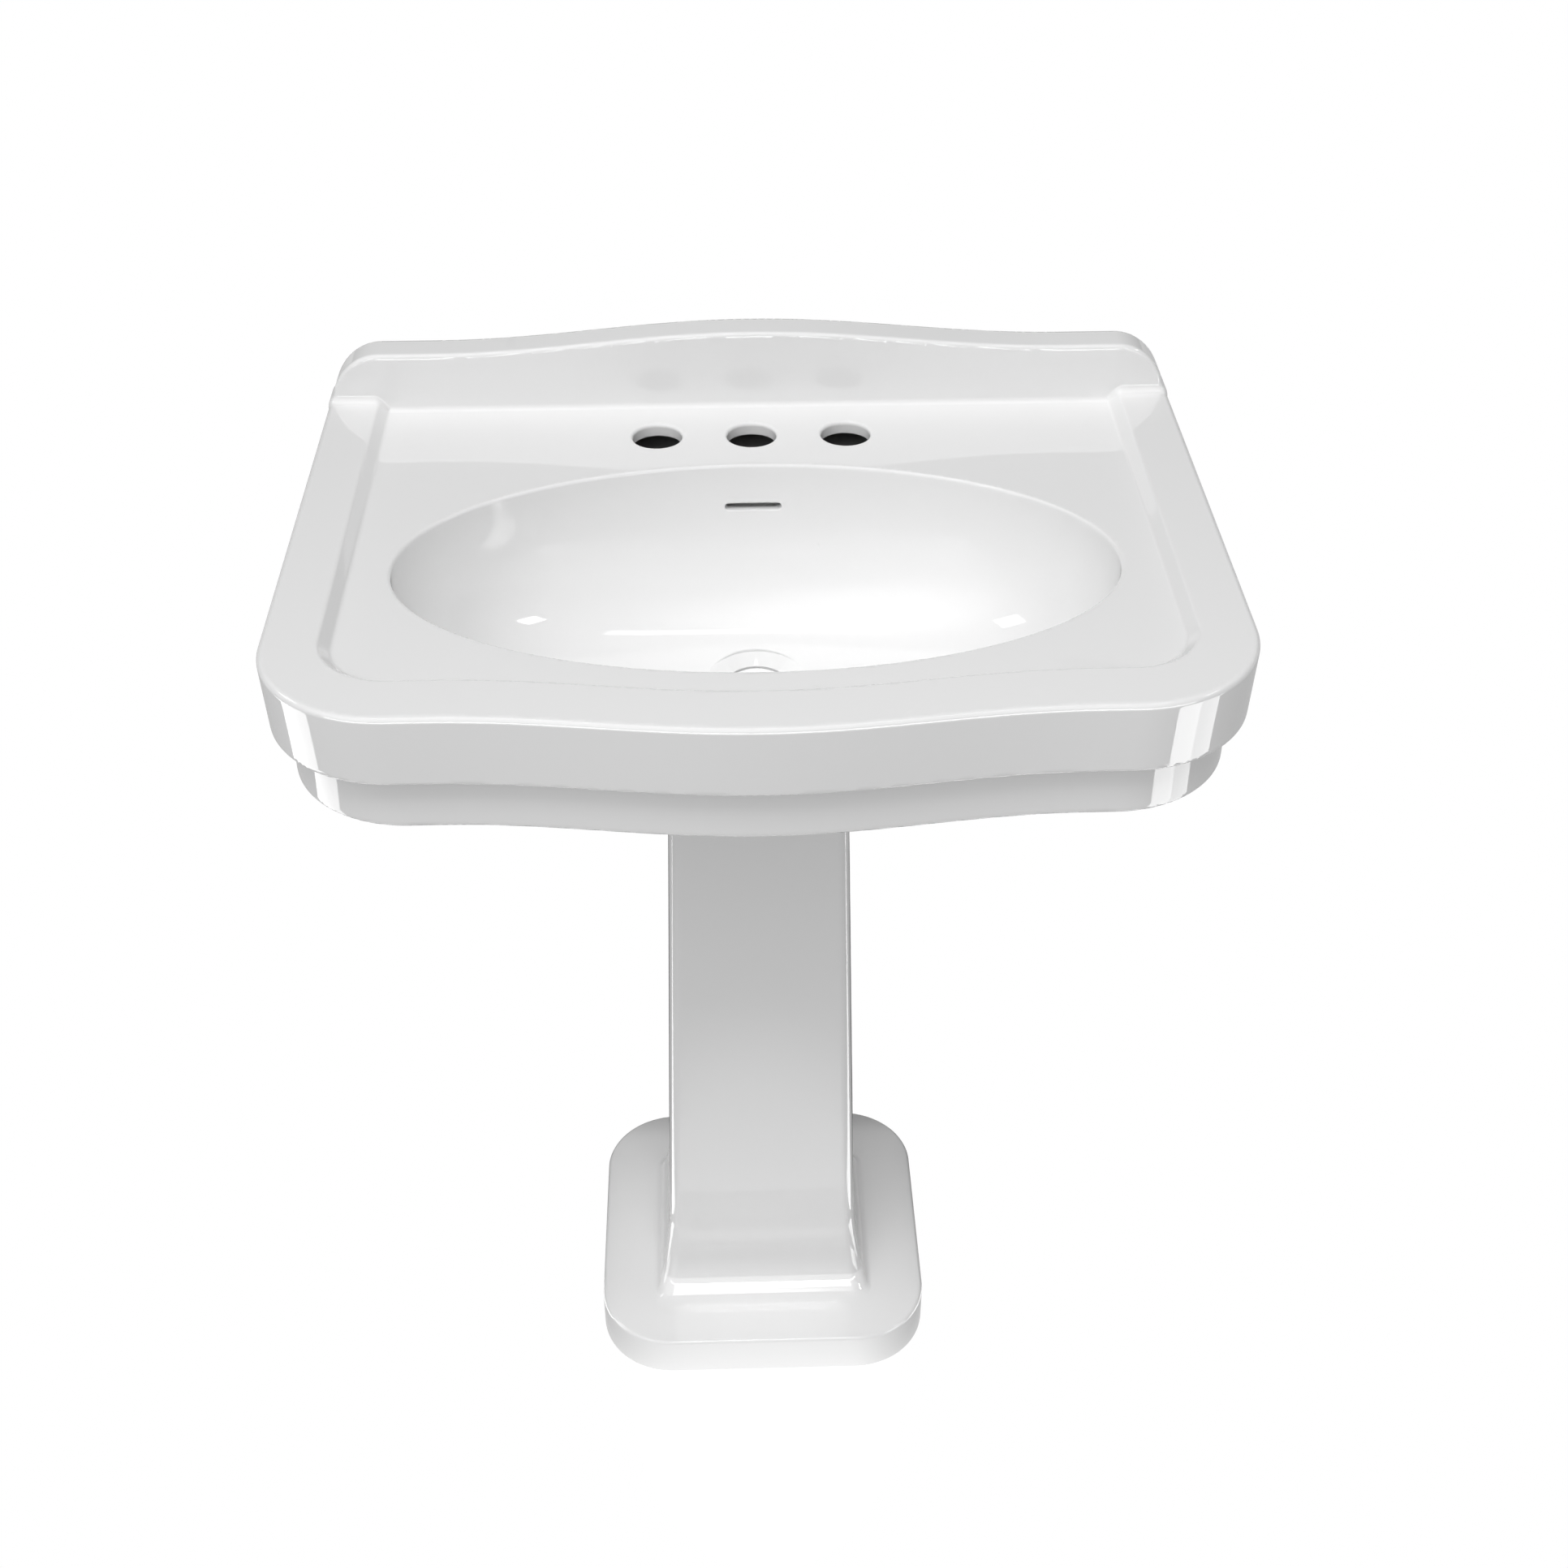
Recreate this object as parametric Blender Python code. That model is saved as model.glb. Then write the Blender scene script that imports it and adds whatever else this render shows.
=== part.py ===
"""Pedestal sink: a glazed basin with a serpentine front, hung on the wall and carried by a hollow pedestal.

Metres, +Z up, the wall at +Y, the front at -Y, the floor at Z = 0 under the middle of the object.
Every separate piece is its own object: the two ceramic castings, the wall fixings, the rubber pads
between the castings and the floor fixings of the pedestal.
"""

import math

import bmesh
import bpy
from mathutils import Matrix, Vector

# ---- driving dimensions -------------------------------------------------------------------------
WIDTH = 0.610
DEPTH = 0.448
RIM_Z = 0.755

HALF_WIDTH = WIDTH / 2
WALL_Y = DEPTH / 2
BULGE = 0.0175
BULGE_HALF_SPAN = 0.197
FRONT_Y = -DEPTH / 2 + BULGE

GAP = 0.0003
BACK_STOCK = 0.030

# ---- basin, heights measured down from the rim --------------------------------------------------
UPPER_TIER_DROP = 0.049
LOWER_TIER_DROP = 0.088
UPPER_TIER_DRAFT = 0.0018
LOWER_TIER_INSET = 0.0127
FRONT_CORNER = 0.084
BACK_CORNER = 0.006
RIM_ROUND = 0.004

DECK_DROP = 0.007
DECK_THICKNESS = 0.010
DECK_HALF_WIDTH = 0.262
DECK_FRONT_Y = -0.1585
DECK_CORNER = 0.040
BORDER_SLOPE = 0.007

SPLASH_THICKNESS = 0.0255
SPLASH_CENTRE_RISE = 0.050
SPLASH_SIDE_RISE = 0.0365
SPLASH_HALF_SPAN = 0.225
SPLASH_TOP_HALF_WIDTH = 0.2925
SPLASH_CORNER = 0.025
SPLASH_COVE = 0.006
SPLASH_FRONT_Y = WALL_Y - SPLASH_THICKNESS

BOWL_Y = -0.0265
BOWL_HALF_WIDTH = 0.2358
BOWL_FRONT = 0.1251
BOWL_BACK = 0.1342
BOWL_FLOOR_DROP = 0.130
BOWL_WALL = 0.010

DRAIN_Y = 0.0255
DRAIN_SEAT_R = 0.0317
DRAIN_HOLE_R = 0.0215
DRAIN_RELIEF_R = 0.038
DRAIN_SEAT_DEPTH = 0.0045
DRAIN_LIP = 0.002
UNDERSIDE_DROP = 0.147
FLAT_HALF_WIDTH = 0.100
FLAT_HALF_DEPTH = 0.060
FLAT_Y = 0.020

TAP_Y = 0.1531
TAP_SPACING = 0.067
TAP_HOLE_R = 0.0175

SLOT_WIDTH = 0.040
SLOT_HEIGHT = 0.0055
SLOT_DROP = 0.038
DUCT_HALF_WIDTH = 0.029
PASSAGE_HALF_WIDTH = 0.021
# Sections of the overflow duct and of the passage in it: Y, and drop below the rim.
DUCT_SHELL = (
    (0.104, 0.024),
    (0.128, 0.024),
    (0.128, 0.066),
    (0.123, 0.094),
    (0.112, 0.120),
    (0.094, 0.1445),
    (0.074, 0.1445),
    (0.074, 0.133),
    (0.091, 0.115),
    (0.104, 0.080),
)
DUCT_PASSAGE = (
    (0.1125, 0.030),
    (0.1215, 0.030),
    (0.1215, 0.065),
    (0.1165, 0.092),
    (0.106, 0.116),
    (0.089, 0.139),
    (0.070, 0.1415),
    (0.050, 0.1425),
    (0.050, 0.1375),
    (0.070, 0.1355),
    (0.085, 0.130),
    (0.098, 0.111),
    (0.108, 0.088),
    (0.1125, 0.063),
)

TIER_WALL = 0.012

# ---- pedestal -----------------------------------------------------------------------------------
PLINTH_HALF_WIDTH = 0.1345
PLINTH_FRONT_Y = -0.0737
PLINTH_BACK_Y = 0.1884
PLINTH_HEIGHT = 0.036
PLINTH_CORNER = 0.060
PLINTH_ROUND = 0.004
SWEEP = 0.035
COLUMN_FOOT_HALF_WIDTH = 0.078
COLUMN_TOP_HALF_WIDTH = 0.0625
COLUMN_FOOT_FRONT_Y = 0.006
COLUMN_TOP_FRONT_Y = -0.017
COLUMN_BACK_Y = 0.127
COLUMN_CORNER = 0.013
COLUMN_WALL = 0.012
FLANGE_THICKNESS = 0.014
FLANGE_OPENING_HALF = 0.038
FLANGE_OPENING_FRONT_Y = 0.030
FLANGE_OPENING_BACK_Y = 0.104
WINDOW_HALF_WIDTH = 0.0485
WINDOW_SILL_Z = 0.046
WINDOW_NEAR_Y = 0.103
WINDOW_DEPTH = 0.080

# ---- fixings ------------------------------------------------------------------------------------
PAD_R = 0.0055
PAD_THICKNESS = 0.003
PAD_FRONT_X = 0.040
PAD_SIDE_Y = 0.048
WALL_FIXING_X = 0.140
WALL_FIXING_DROP = 0.062
WALL_HOLE_R = 0.0075
HANGER_R = 0.005
HANGER_LENGTH = 0.044
HANGER_CHAMFER = 0.001
WALL_BUSH_R = 0.0125
WALL_BUSH_FLANGE = 0.003
WALL_WASHER_R = 0.012
WALL_WASHER_THICKNESS = 0.002
NUT_ACROSS_FLATS = 0.017
NUT_HEIGHT = 0.008
FLOOR_FIXING_X = 0.0525
FLOOR_FIXING_Y = 0.075
FLOOR_HOLE_R = 0.006
FLOOR_SCREW_R = 0.004
FLOOR_CLEARANCE = 0.001
FLOOR_BUSH_R = 0.0105
FLOOR_BUSH_FLANGE = 0.0025
FLOOR_WASHER_R = 0.0115
FLOOR_WASHER_THICKNESS = 0.0016
SCREW_ACROSS_FLATS = 0.013
SCREW_HEAD_HEIGHT = 0.0055
CAP_INNER_R = 0.0085
CAP_OUTER_R = 0.0108
CAP_ROOF_HEIGHT = 0.0075
CAP_ROOF_THICKNESS = 0.0018
CAP_SHOULDER = 0.001
CUT_MARGIN = 0.005

PEDESTAL_TOP_Z = RIM_Z - UNDERSIDE_DROP - PAD_THICKNESS - 2 * GAP

# ---- finishes: colour, roughness, metallic ------------------------------------------------------
GLAZE = ("glazed_ceramic", (0.87, 0.87, 0.87), 0.06, 0.0)
RUBBER = ("black_rubber", (0.03, 0.03, 0.03), 0.75, 0.0)
NYLON = ("white_nylon", (0.82, 0.81, 0.77), 0.45, 0.0)
ZINC = ("zinc_plated_steel", (0.62, 0.63, 0.64), 0.32, 1.0)


def clear_scene():
    """Start from an empty scene."""
    for old in list(bpy.data.objects):
        bpy.data.objects.remove(old, do_unlink=True)


def finish(look):
    """The shared material of one finish."""
    name, colour, roughness, metallic = look
    material = bpy.data.materials.get(name)
    if material is None:
        material = bpy.data.materials.new(name)
        material.use_nodes = True
        shader = material.node_tree.nodes["Principled BSDF"]
        shader.inputs["Base Color"].default_value = (*colour, 1.0)
        shader.inputs["Roughness"].default_value = roughness
        shader.inputs["Metallic"].default_value = metallic
        material.diffuse_color = (*colour, 1.0)
    return material


def add_object(name, bm, look, sharp_degrees=35.0):
    """Turn a finished bmesh into a named object, smooth where its faces turn gently."""
    bmesh.ops.recalc_face_normals(bm, faces=bm.faces)
    mesh = bpy.data.meshes.new(name)
    bm.to_mesh(mesh)
    bm.free()
    mesh.shade_smooth()
    mesh.set_sharp_from_angle(angle=math.radians(sharp_degrees))
    mesh.materials.append(finish(look))
    thing = bpy.data.objects.new(name, mesh)
    bpy.context.scene.collection.objects.link(thing)
    return thing


def as_tool(thing):
    """Mark an object as a cutter or guide, which isn't part of the model."""
    thing.hide_render = True
    thing.display_type = "WIRE"
    return thing


def combine(target, tool, operation):
    """Add a Boolean of the target with a tool object."""
    modifier = target.modifiers.new(operation.lower() + "_" + tool.name, "BOOLEAN")
    modifier.operation = operation
    modifier.object = as_tool(tool)


# ---- shapes from closed rings -------------------------------------------------------------------
def bridge_rings(rings, closed):
    """A surface through rings of equal point counts; closed joins the last ring to the first."""
    bm = bmesh.new()
    rows = [[bm.verts.new(point) for point in ring] for ring in rings]
    count = len(rows[0])
    pairs = list(zip(rows, rows[1:]))
    if closed:
        pairs.append((rows[-1], rows[0]))
    for low, high in pairs:
        for i in range(count):
            j = (i + 1) % count
            bm.faces.new((low[i], low[j], high[j], high[i]))
    if not closed:
        bm.faces.new(rows[0])
        bm.faces.new(rows[-1])
    return bm


def arc(centre, radius, start, end, steps):
    """Points of a plan arc, both ends included, angles in degrees."""
    turn = [math.radians(start + (end - start) * i / steps) for i in range(steps + 1)]
    return [(centre[0] + radius * math.cos(a), centre[1] + radius * math.sin(a)) for a in turn]


def mirrored_loop(right_half):
    """A closed plan outline from its right half, which runs from the front centre to the back centre."""
    left = [(-x, y) for x, y in reversed(right_half[1:-1])]
    return right_half + left


def swell(x, half_span):
    """A smooth swell: 1 at the centre line, 0 from half_span outwards."""
    if abs(x) >= half_span:
        return 0.0
    return 0.5 * (1.0 + math.cos(math.pi * x / half_span))


def serpentine_outline(half_width, front_y, back_y, front_corner, back_corner):
    """The basin's bowed-front plan outline, with the same number of points at every size."""
    half = []
    for i in range(12):
        x = BULGE_HALF_SPAN * i / 12
        half.append((x, front_y - BULGE * swell(x, BULGE_HALF_SPAN)))
    half += arc((half_width - front_corner, front_y + front_corner), front_corner, -90, 0, 7)
    side_start = front_y + front_corner
    side_end = back_y - back_corner
    half += [(half_width, side_start + (side_end - side_start) * i / 9) for i in range(1, 9)]
    half += arc((half_width - back_corner, back_y - back_corner), back_corner, 0, 90, 3)
    edge = half_width - back_corner
    half += [(edge * (1 - i / 6), back_y) for i in range(1, 7)]
    return mirrored_loop(half)


def at_height(outline, z):
    """Lift a plan outline to one height."""
    return [Vector((x, y, z)) for x, y in outline]


def rounded_rectangle(half_width, front_y, back_y, corner, steps=6):
    """A rounded rectangle in plan, symmetric about X = 0."""
    half = [(0.0, front_y)]
    half += arc((half_width - corner, front_y + corner), corner, -90, 0, steps)
    half += arc((half_width - corner, back_y - corner), corner, 0, 90, steps)
    half.append((0.0, back_y))
    return mirrored_loop(half)


# ---- basin --------------------------------------------------------------------------------------
def bowl_depth(share):
    """Depth below the deck, from 0 at the bowl's rim to 1 at its floor, for a share of its width."""
    return (1.0 - share**2.6) ** (1 / 2.2)


def bowl_centre(share):
    """The bowl's section centres slide from its rim's centre back to the drain."""
    return DRAIN_Y + (BOWL_Y - DRAIN_Y) * share**1.5


def ellipse_ring(directions, centre_y, half_width, front, back, z):
    """An oval ring, longer to the back than to the front, with a point in each given direction."""
    ring = []
    for dx, dy in directions:
        depth = back if dy > 0 else front
        turn = math.atan2(dy / depth, dx / half_width)
        ring.append(Vector((half_width * math.cos(turn), centre_y + depth * math.sin(turn), z)))
    return ring


def circle_ring(directions, centre_y, radius, z):
    """A round ring with a point in each given direction."""
    return ellipse_ring(directions, centre_y, radius, radius, radius, z)


def bowl_rings(directions):
    """The bowl's inner rings from its rim down to the drain seat, then the hole and its relief."""
    floor = BOWL_FLOOR_DROP - DECK_DROP
    rings = []
    for share in (1.0, 0.992, 0.97, 0.93, 0.87, 0.78, 0.65, 0.48, 0.32):
        width = BOWL_HALF_WIDTH * share
        z = RIM_Z - DECK_DROP - floor * bowl_depth(share)
        rings.append(
            ellipse_ring(directions, bowl_centre(share), width, BOWL_FRONT * share, BOWL_BACK * share, z)
        )
    seat_z = RIM_Z - BOWL_FLOOR_DROP
    lip_z = seat_z - DRAIN_SEAT_DEPTH
    rings.append(circle_ring(directions, DRAIN_Y, DRAIN_SEAT_R, seat_z))
    rings.append(circle_ring(directions, DRAIN_Y, DRAIN_HOLE_R, lip_z))
    rings.append(circle_ring(directions, DRAIN_Y, DRAIN_HOLE_R, lip_z - DRAIN_LIP))
    rings.append(circle_ring(directions, DRAIN_Y, DRAIN_RELIEF_R, RIM_Z - UNDERSIDE_DROP))
    return rings


def underside_rings(directions):
    """The bowl's outer rings, from the flat that the pedestal carries up to the deck's underside."""
    floor = BOWL_FLOOR_DROP - DECK_DROP
    flat_z = RIM_Z - UNDERSIDE_DROP
    rings = [
        ellipse_ring(directions, FLAT_Y, FLAT_HALF_WIDTH, FLAT_HALF_DEPTH, FLAT_HALF_DEPTH, flat_z)
    ]
    for share in (0.66, 0.80, 0.90, 0.96, 1.0):
        side = BOWL_WALL * share
        below = BOWL_WALL * (1.0 if share == 1.0 else 1.3 - share)
        z = RIM_Z - DECK_DROP - floor * bowl_depth(share) - below
        rings.append(
            ellipse_ring(
                directions,
                bowl_centre(share),
                BOWL_HALF_WIDTH * share + side,
                BOWL_FRONT * share + side,
                BOWL_BACK * share + side,
                z,
            )
        )
    return rings


def outer_ring(inset, drop, corner_loss=0.0):
    """A ring of the apron, run on behind the wall plane, where all of them are cut off together."""
    back_y = WALL_Y + BACK_STOCK - inset
    outline = serpentine_outline(
        HALF_WIDTH - inset, FRONT_Y + inset, back_y, FRONT_CORNER - corner_loss, BACK_CORNER
    )
    return at_height(outline, RIM_Z - drop)


def cavity_ring(inset, drop):
    """A ring of the hollow under the basin, closed at the back by the wall-side web."""
    outline = serpentine_outline(
        HALF_WIDTH - inset, FRONT_Y + inset, WALL_Y - TIER_WALL, FRONT_CORNER - inset, BACK_CORNER
    )
    return at_height(outline, RIM_Z - drop)


def basin_body():
    """The casting without its backsplash: one band of rings, over the rim, through the bowl and back."""
    deck = serpentine_outline(
        DECK_HALF_WIDTH, DECK_FRONT_Y, SPLASH_FRONT_Y + 0.0015, DECK_CORNER, BACK_CORNER / 2
    )
    slope_top = serpentine_outline(
        DECK_HALF_WIDTH + BORDER_SLOPE,
        DECK_FRONT_Y - BORDER_SLOPE,
        SPLASH_FRONT_Y + 0.0015 + BORDER_SLOPE,
        DECK_CORNER + BORDER_SLOPE,
        BACK_CORNER,
    )
    directions = [(x, y - BOWL_Y) for x, y in deck]
    lower_inset = LOWER_TIER_INSET + 0.001
    rings = [
        outer_ring(lower_inset, LOWER_TIER_DROP, corner_loss=0.006),
        outer_ring(LOWER_TIER_INSET, UPPER_TIER_DROP, corner_loss=0.006),
        outer_ring(UPPER_TIER_DRAFT, UPPER_TIER_DROP),
        outer_ring(0.0, RIM_ROUND),
        outer_ring(RIM_ROUND * 0.3, RIM_ROUND * 0.3),
        outer_ring(RIM_ROUND, 0.0),
        at_height(slope_top, RIM_Z),
        at_height(deck, RIM_Z - DECK_DROP),
    ]
    rings += bowl_rings(directions)
    rings += underside_rings(directions)
    rings += [
        cavity_ring(TIER_WALL, DECK_DROP + DECK_THICKNESS),
        cavity_ring(TIER_WALL, UPPER_TIER_DROP - TIER_WALL),
        cavity_ring(LOWER_TIER_INSET + TIER_WALL, UPPER_TIER_DROP),
        cavity_ring(LOWER_TIER_INSET + TIER_WALL, LOWER_TIER_DROP),
    ]
    return add_object("basin", bridge_rings(rings, closed=True), GLAZE)


def extrude_profile(name, points, offset, look):
    """A closed body from a planar profile moved along one offset."""
    bm = bmesh.new()
    near = [bm.verts.new(point) for point in points]
    far = [bm.verts.new(Vector(point) + Vector(offset)) for point in points]
    bm.faces.new(near)
    bm.faces.new(list(reversed(far)))
    count = len(points)
    for i in range(count):
        j = (i + 1) % count
        bm.faces.new((near[i], far[i], far[j], near[j]))
    return add_object(name, bm, look)


def splash_outline():
    """The backsplash seen from the front, as x and height above the rim, from its foot over the top."""
    top = SPLASH_TOP_HALF_WIDTH
    straight = top - SPLASH_CORNER
    half = []
    for i in range(12):
        x = SPLASH_HALF_SPAN * i / 12
        rise = SPLASH_SIDE_RISE + (SPLASH_CENTRE_RISE - SPLASH_SIDE_RISE) * swell(x, SPLASH_HALF_SPAN)
        half.append((x, rise))
    half += arc((straight, SPLASH_SIDE_RISE - SPLASH_CORNER), SPLASH_CORNER, 90, 8, 6)
    half += [(top + 0.0045, 0.005), (HALF_WIDTH - 0.003, -0.004), (HALF_WIDTH - 0.003, -0.030)]
    right_down = half
    left_up = [(-x, z) for x, z in reversed(half[1:])]
    return right_down + left_up


def backsplash():
    """The raised back, which the basin body takes in."""
    start_y = WALL_Y + BACK_STOCK / 2
    outline = [Vector((x, start_y, RIM_Z + z)) for x, z in splash_outline()]
    return extrude_profile("backsplash_guide", outline, (0, SPLASH_FRONT_Y - start_y, 0), GLAZE)


def cove(name, half_length, foot_drop):
    """A quarter-round filler strip along the backsplash's foot, on a surface foot_drop below the rim."""
    foot_z = RIM_Z - foot_drop
    buried = 0.004
    points = [(SPLASH_FRONT_Y + buried, foot_z - buried), (SPLASH_FRONT_Y + buried, foot_z + SPLASH_COVE)]
    for angle in range(90, -1, -30):
        turn = math.radians(angle)
        run = SPLASH_COVE * (1 - math.sin(turn))
        rise = SPLASH_COVE * (1 - math.cos(turn))
        points.append((SPLASH_FRONT_Y - run, foot_z + rise))
    points.append((SPLASH_FRONT_Y - SPLASH_COVE, foot_z - buried))
    profile = [Vector((-half_length, y, z)) for y, z in points]
    return extrude_profile(name, profile, (2 * half_length, 0, 0), GLAZE)


def capsule_cutter(name, half_length, radius, centre, depth):
    """A round-ended slot cutter, long along X, running back along Y from its centre."""
    flat = half_length - radius
    points = arc((flat, 0), radius, -90, 90, 6) + arc((-flat, 0), radius, 90, 270, 6)
    profile = [Vector((centre[0] + x, centre[1], centre[2] + z)) for x, z in points]
    return extrude_profile(name, profile, (0, depth, 0), GLAZE)


def rod(name, radius, start, end, look, sides=24):
    """A round bar between two points."""
    start = Vector(start)
    along = Vector(end) - start
    turn = along.to_track_quat("Z", "Y").to_matrix().to_4x4()
    bm = bmesh.new()
    bmesh.ops.create_cone(
        bm,
        cap_ends=True,
        segments=sides,
        radius1=radius,
        radius2=radius,
        depth=along.length,
        matrix=Matrix.Translation(start + along / 2) @ turn,
    )
    return add_object(name, bm, look)


def overflow_duct(basin):
    """The overflow: a slot in the bowl's back wall, a duct behind it, an outlet above the drain."""
    profile = [Vector((-DUCT_HALF_WIDTH, y, RIM_Z - drop)) for y, drop in DUCT_SHELL]
    combine(basin, extrude_profile("duct_guide", profile, (2 * DUCT_HALF_WIDTH, 0, 0), GLAZE), "UNION")

    profile = [Vector((-PASSAGE_HALF_WIDTH, y, RIM_Z - drop)) for y, drop in DUCT_PASSAGE]
    offset = (2 * PASSAGE_HALF_WIDTH, 0, 0)
    combine(basin, extrude_profile("passage_cutter", profile, offset, GLAZE), "DIFFERENCE")

    mouth = (0.0, 0.094, RIM_Z - SLOT_DROP)
    slot = capsule_cutter("slot_cutter", SLOT_WIDTH / 2, SLOT_HEIGHT / 2, mouth, 0.022)
    combine(basin, slot, "DIFFERENCE")


def trim_at_wall(basin):
    """Cut everything behind the wall plane off in one flat face."""
    corners = [(-WIDTH, -0.01), (WIDTH, -0.01), (WIDTH, 1.0), (-WIDTH, 1.0)]
    profile = [Vector((x, WALL_Y, z)) for x, z in corners]
    combine(basin, extrude_profile("wall_plane_cutter", profile, (0, WIDTH, 0), GLAZE), "DIFFERENCE")


def build_basin():
    """The basin casting with its backsplash, tap holes, overflow and wall-fixing holes."""
    basin = basin_body()
    combine(basin, backsplash(), "UNION")
    combine(basin, cove("deck_cove_guide", DECK_HALF_WIDTH + 0.002, DECK_DROP), "UNION")
    trim_at_wall(basin)
    overflow_duct(basin)
    for index, x in enumerate((-TAP_SPACING, 0.0, TAP_SPACING)):
        top = (x, TAP_Y, RIM_Z + CUT_MARGIN)
        bottom = (x, TAP_Y, RIM_Z - DECK_DROP - DECK_THICKNESS - CUT_MARGIN)
        combine(basin, rod(f"tap_cutter_{index}", TAP_HOLE_R, bottom, top, GLAZE, 32), "DIFFERENCE")
    z = RIM_Z - WALL_FIXING_DROP
    for side, x in (("left", -WALL_FIXING_X), ("right", WALL_FIXING_X)):
        front = (x, WALL_Y - TIER_WALL - CUT_MARGIN, z)
        back = (x, WALL_Y + CUT_MARGIN, z)
        combine(basin, rod(f"wall_cutter_{side}", WALL_HOLE_R, front, back, GLAZE), "DIFFERENCE")
    return basin


# ---- pedestal -----------------------------------------------------------------------------------
def column_section(z, grow=0.0, corner=COLUMN_CORNER):
    """The column's plan section at one height: it widens downwards and its front leans forward upwards."""
    foot_z = PLINTH_HEIGHT + SWEEP
    share = (z - foot_z) / (PEDESTAL_TOP_Z - foot_z)
    half = COLUMN_FOOT_HALF_WIDTH + (COLUMN_TOP_HALF_WIDTH - COLUMN_FOOT_HALF_WIDTH) * share
    front = COLUMN_FOOT_FRONT_Y + (COLUMN_TOP_FRONT_Y - COLUMN_FOOT_FRONT_Y) * share
    outline = rounded_rectangle(half + grow, front - grow, COLUMN_BACK_Y + grow, corner + grow * 0.6)
    return at_height(outline, z)


def plinth_ring(inset, z):
    """One ring of the rounded plinth."""
    outline = rounded_rectangle(
        PLINTH_HALF_WIDTH - inset, PLINTH_FRONT_Y + inset, PLINTH_BACK_Y - inset, PLINTH_CORNER - inset
    )
    return at_height(outline, z)


def build_pedestal():
    """The pedestal casting: plinth, swept foot and column, hollow, with its back open above the plinth."""
    rings = [plinth_ring(0.0, 0.0), plinth_ring(0.0, PLINTH_HEIGHT - PLINTH_ROUND)]
    rings.append(plinth_ring(PLINTH_ROUND * 0.3, PLINTH_HEIGHT - PLINTH_ROUND * 0.3))
    rings.append(plinth_ring(PLINTH_ROUND, PLINTH_HEIGHT))
    for angle in range(0, 91, 15):
        turn = math.radians(angle)
        grow = SWEEP * (1 - math.sin(turn))
        rings.append(column_section(PLINTH_HEIGHT + SWEEP * (1 - math.cos(turn)), grow))
    rings.append(column_section(PEDESTAL_TOP_Z))
    inner = -COLUMN_WALL
    rings.append(column_section(PEDESTAL_TOP_Z, inner))
    rings.append(column_section(PLINTH_HEIGHT + SWEEP, inner))
    rings.append(column_section(FLANGE_THICKNESS, inner))
    opening = rounded_rectangle(
        FLANGE_OPENING_HALF, FLANGE_OPENING_FRONT_Y, FLANGE_OPENING_BACK_Y, COLUMN_CORNER
    )
    rings.append(at_height(opening, FLANGE_THICKNESS))
    rings.append(at_height(opening, 0.0))
    pedestal = add_object("pedestal", bridge_rings(rings, closed=True), GLAZE)

    half = WINDOW_HALF_WIDTH
    outline = arc((0, WINDOW_SILL_Z + half), half, 180, 360, 10) + [(half, RIM_Z), (-half, RIM_Z)]
    profile = [Vector((x, WINDOW_NEAR_Y, z)) for x, z in outline]
    window = extrude_profile("back_cutter", profile, (0, WINDOW_DEPTH, 0), GLAZE)
    combine(pedestal, window, "DIFFERENCE")
    for side, x in (("left", -FLOOR_FIXING_X), ("right", FLOOR_FIXING_X)):
        low = (x, FLOOR_FIXING_Y, -CUT_MARGIN)
        high = (x, FLOOR_FIXING_Y, FLANGE_THICKNESS + CUT_MARGIN)
        combine(pedestal, rod(f"floor_cutter_{side}", FLOOR_HOLE_R, low, high, GLAZE), "DIFFERENCE")
    return pedestal


# ---- turned and hexagonal small pieces ----------------------------------------------------------
def stand_on_axis(loops, origin, axis):
    """Rings placed on an axis, from pairs of a flat loop of vectors and its distance along the axis."""
    turn = Vector(axis).to_track_quat("Z", "Y").to_matrix()
    start = Vector(origin)
    return [[start + turn @ (point + Vector((0, 0, along))) for point in loop] for loop, along in loops]


def turned(name, profile, origin, axis, look, closed, sides=24):
    """A shape turned round an axis from a profile of (radius, distance along the axis).

    A closed profile gives a ring; an open one gives a solid that is capped at both ends.
    """
    spokes = [2 * math.pi * i / sides for i in range(sides)]
    loops = []
    for radius, along in profile:
        loops.append(([Vector((radius * math.cos(a), radius * math.sin(a), 0)) for a in spokes], along))
    return add_object(name, bridge_rings(stand_on_axis(loops, origin, axis), closed), look)


def hexagon_loop(across_flats):
    """A hexagon's outline, with four points to a flat."""
    radius = across_flats / math.sqrt(3)
    angles = [side * math.pi / 3 for side in range(7)]
    corners = [Vector((math.cos(a), math.sin(a), 0)) * radius for a in angles]
    return [first.lerp(second, step / 4) for first, second in zip(corners, corners[1:]) for step in range(4)]


def round_loop(hexagon, radius):
    """A round loop with a point in line with each point of a hexagon's outline."""
    return [point.normalized() * radius for point in hexagon]


def hex_nut(name, across_flats, bore_r, height, origin, axis, look):
    """A hexagonal nut with a plain bore."""
    outer = hexagon_loop(across_flats)
    inner = round_loop(outer, bore_r)
    loops = ((outer, 0.0), (outer, height), (inner, height), (inner, 0.0))
    return add_object(name, bridge_rings(stand_on_axis(loops, origin, axis), closed=True), look)


def hex_screw(name, across_flats, head_height, shank_r, shank_length, origin, axis, look):
    """A hexagon-head screw: the shank runs along the axis and the head sits at its far end."""
    head = hexagon_loop(across_flats)
    shank = round_loop(head, shank_r)
    tip = round_loop(head, shank_r * 0.6)
    loops = (
        (tip, 0.0),
        (shank, shank_r * 0.6),
        (shank, shank_length),
        (head, shank_length),
        (head, shank_length + head_height),
    )
    return add_object(name, bridge_rings(stand_on_axis(loops, origin, axis), closed=False), look)


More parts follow.
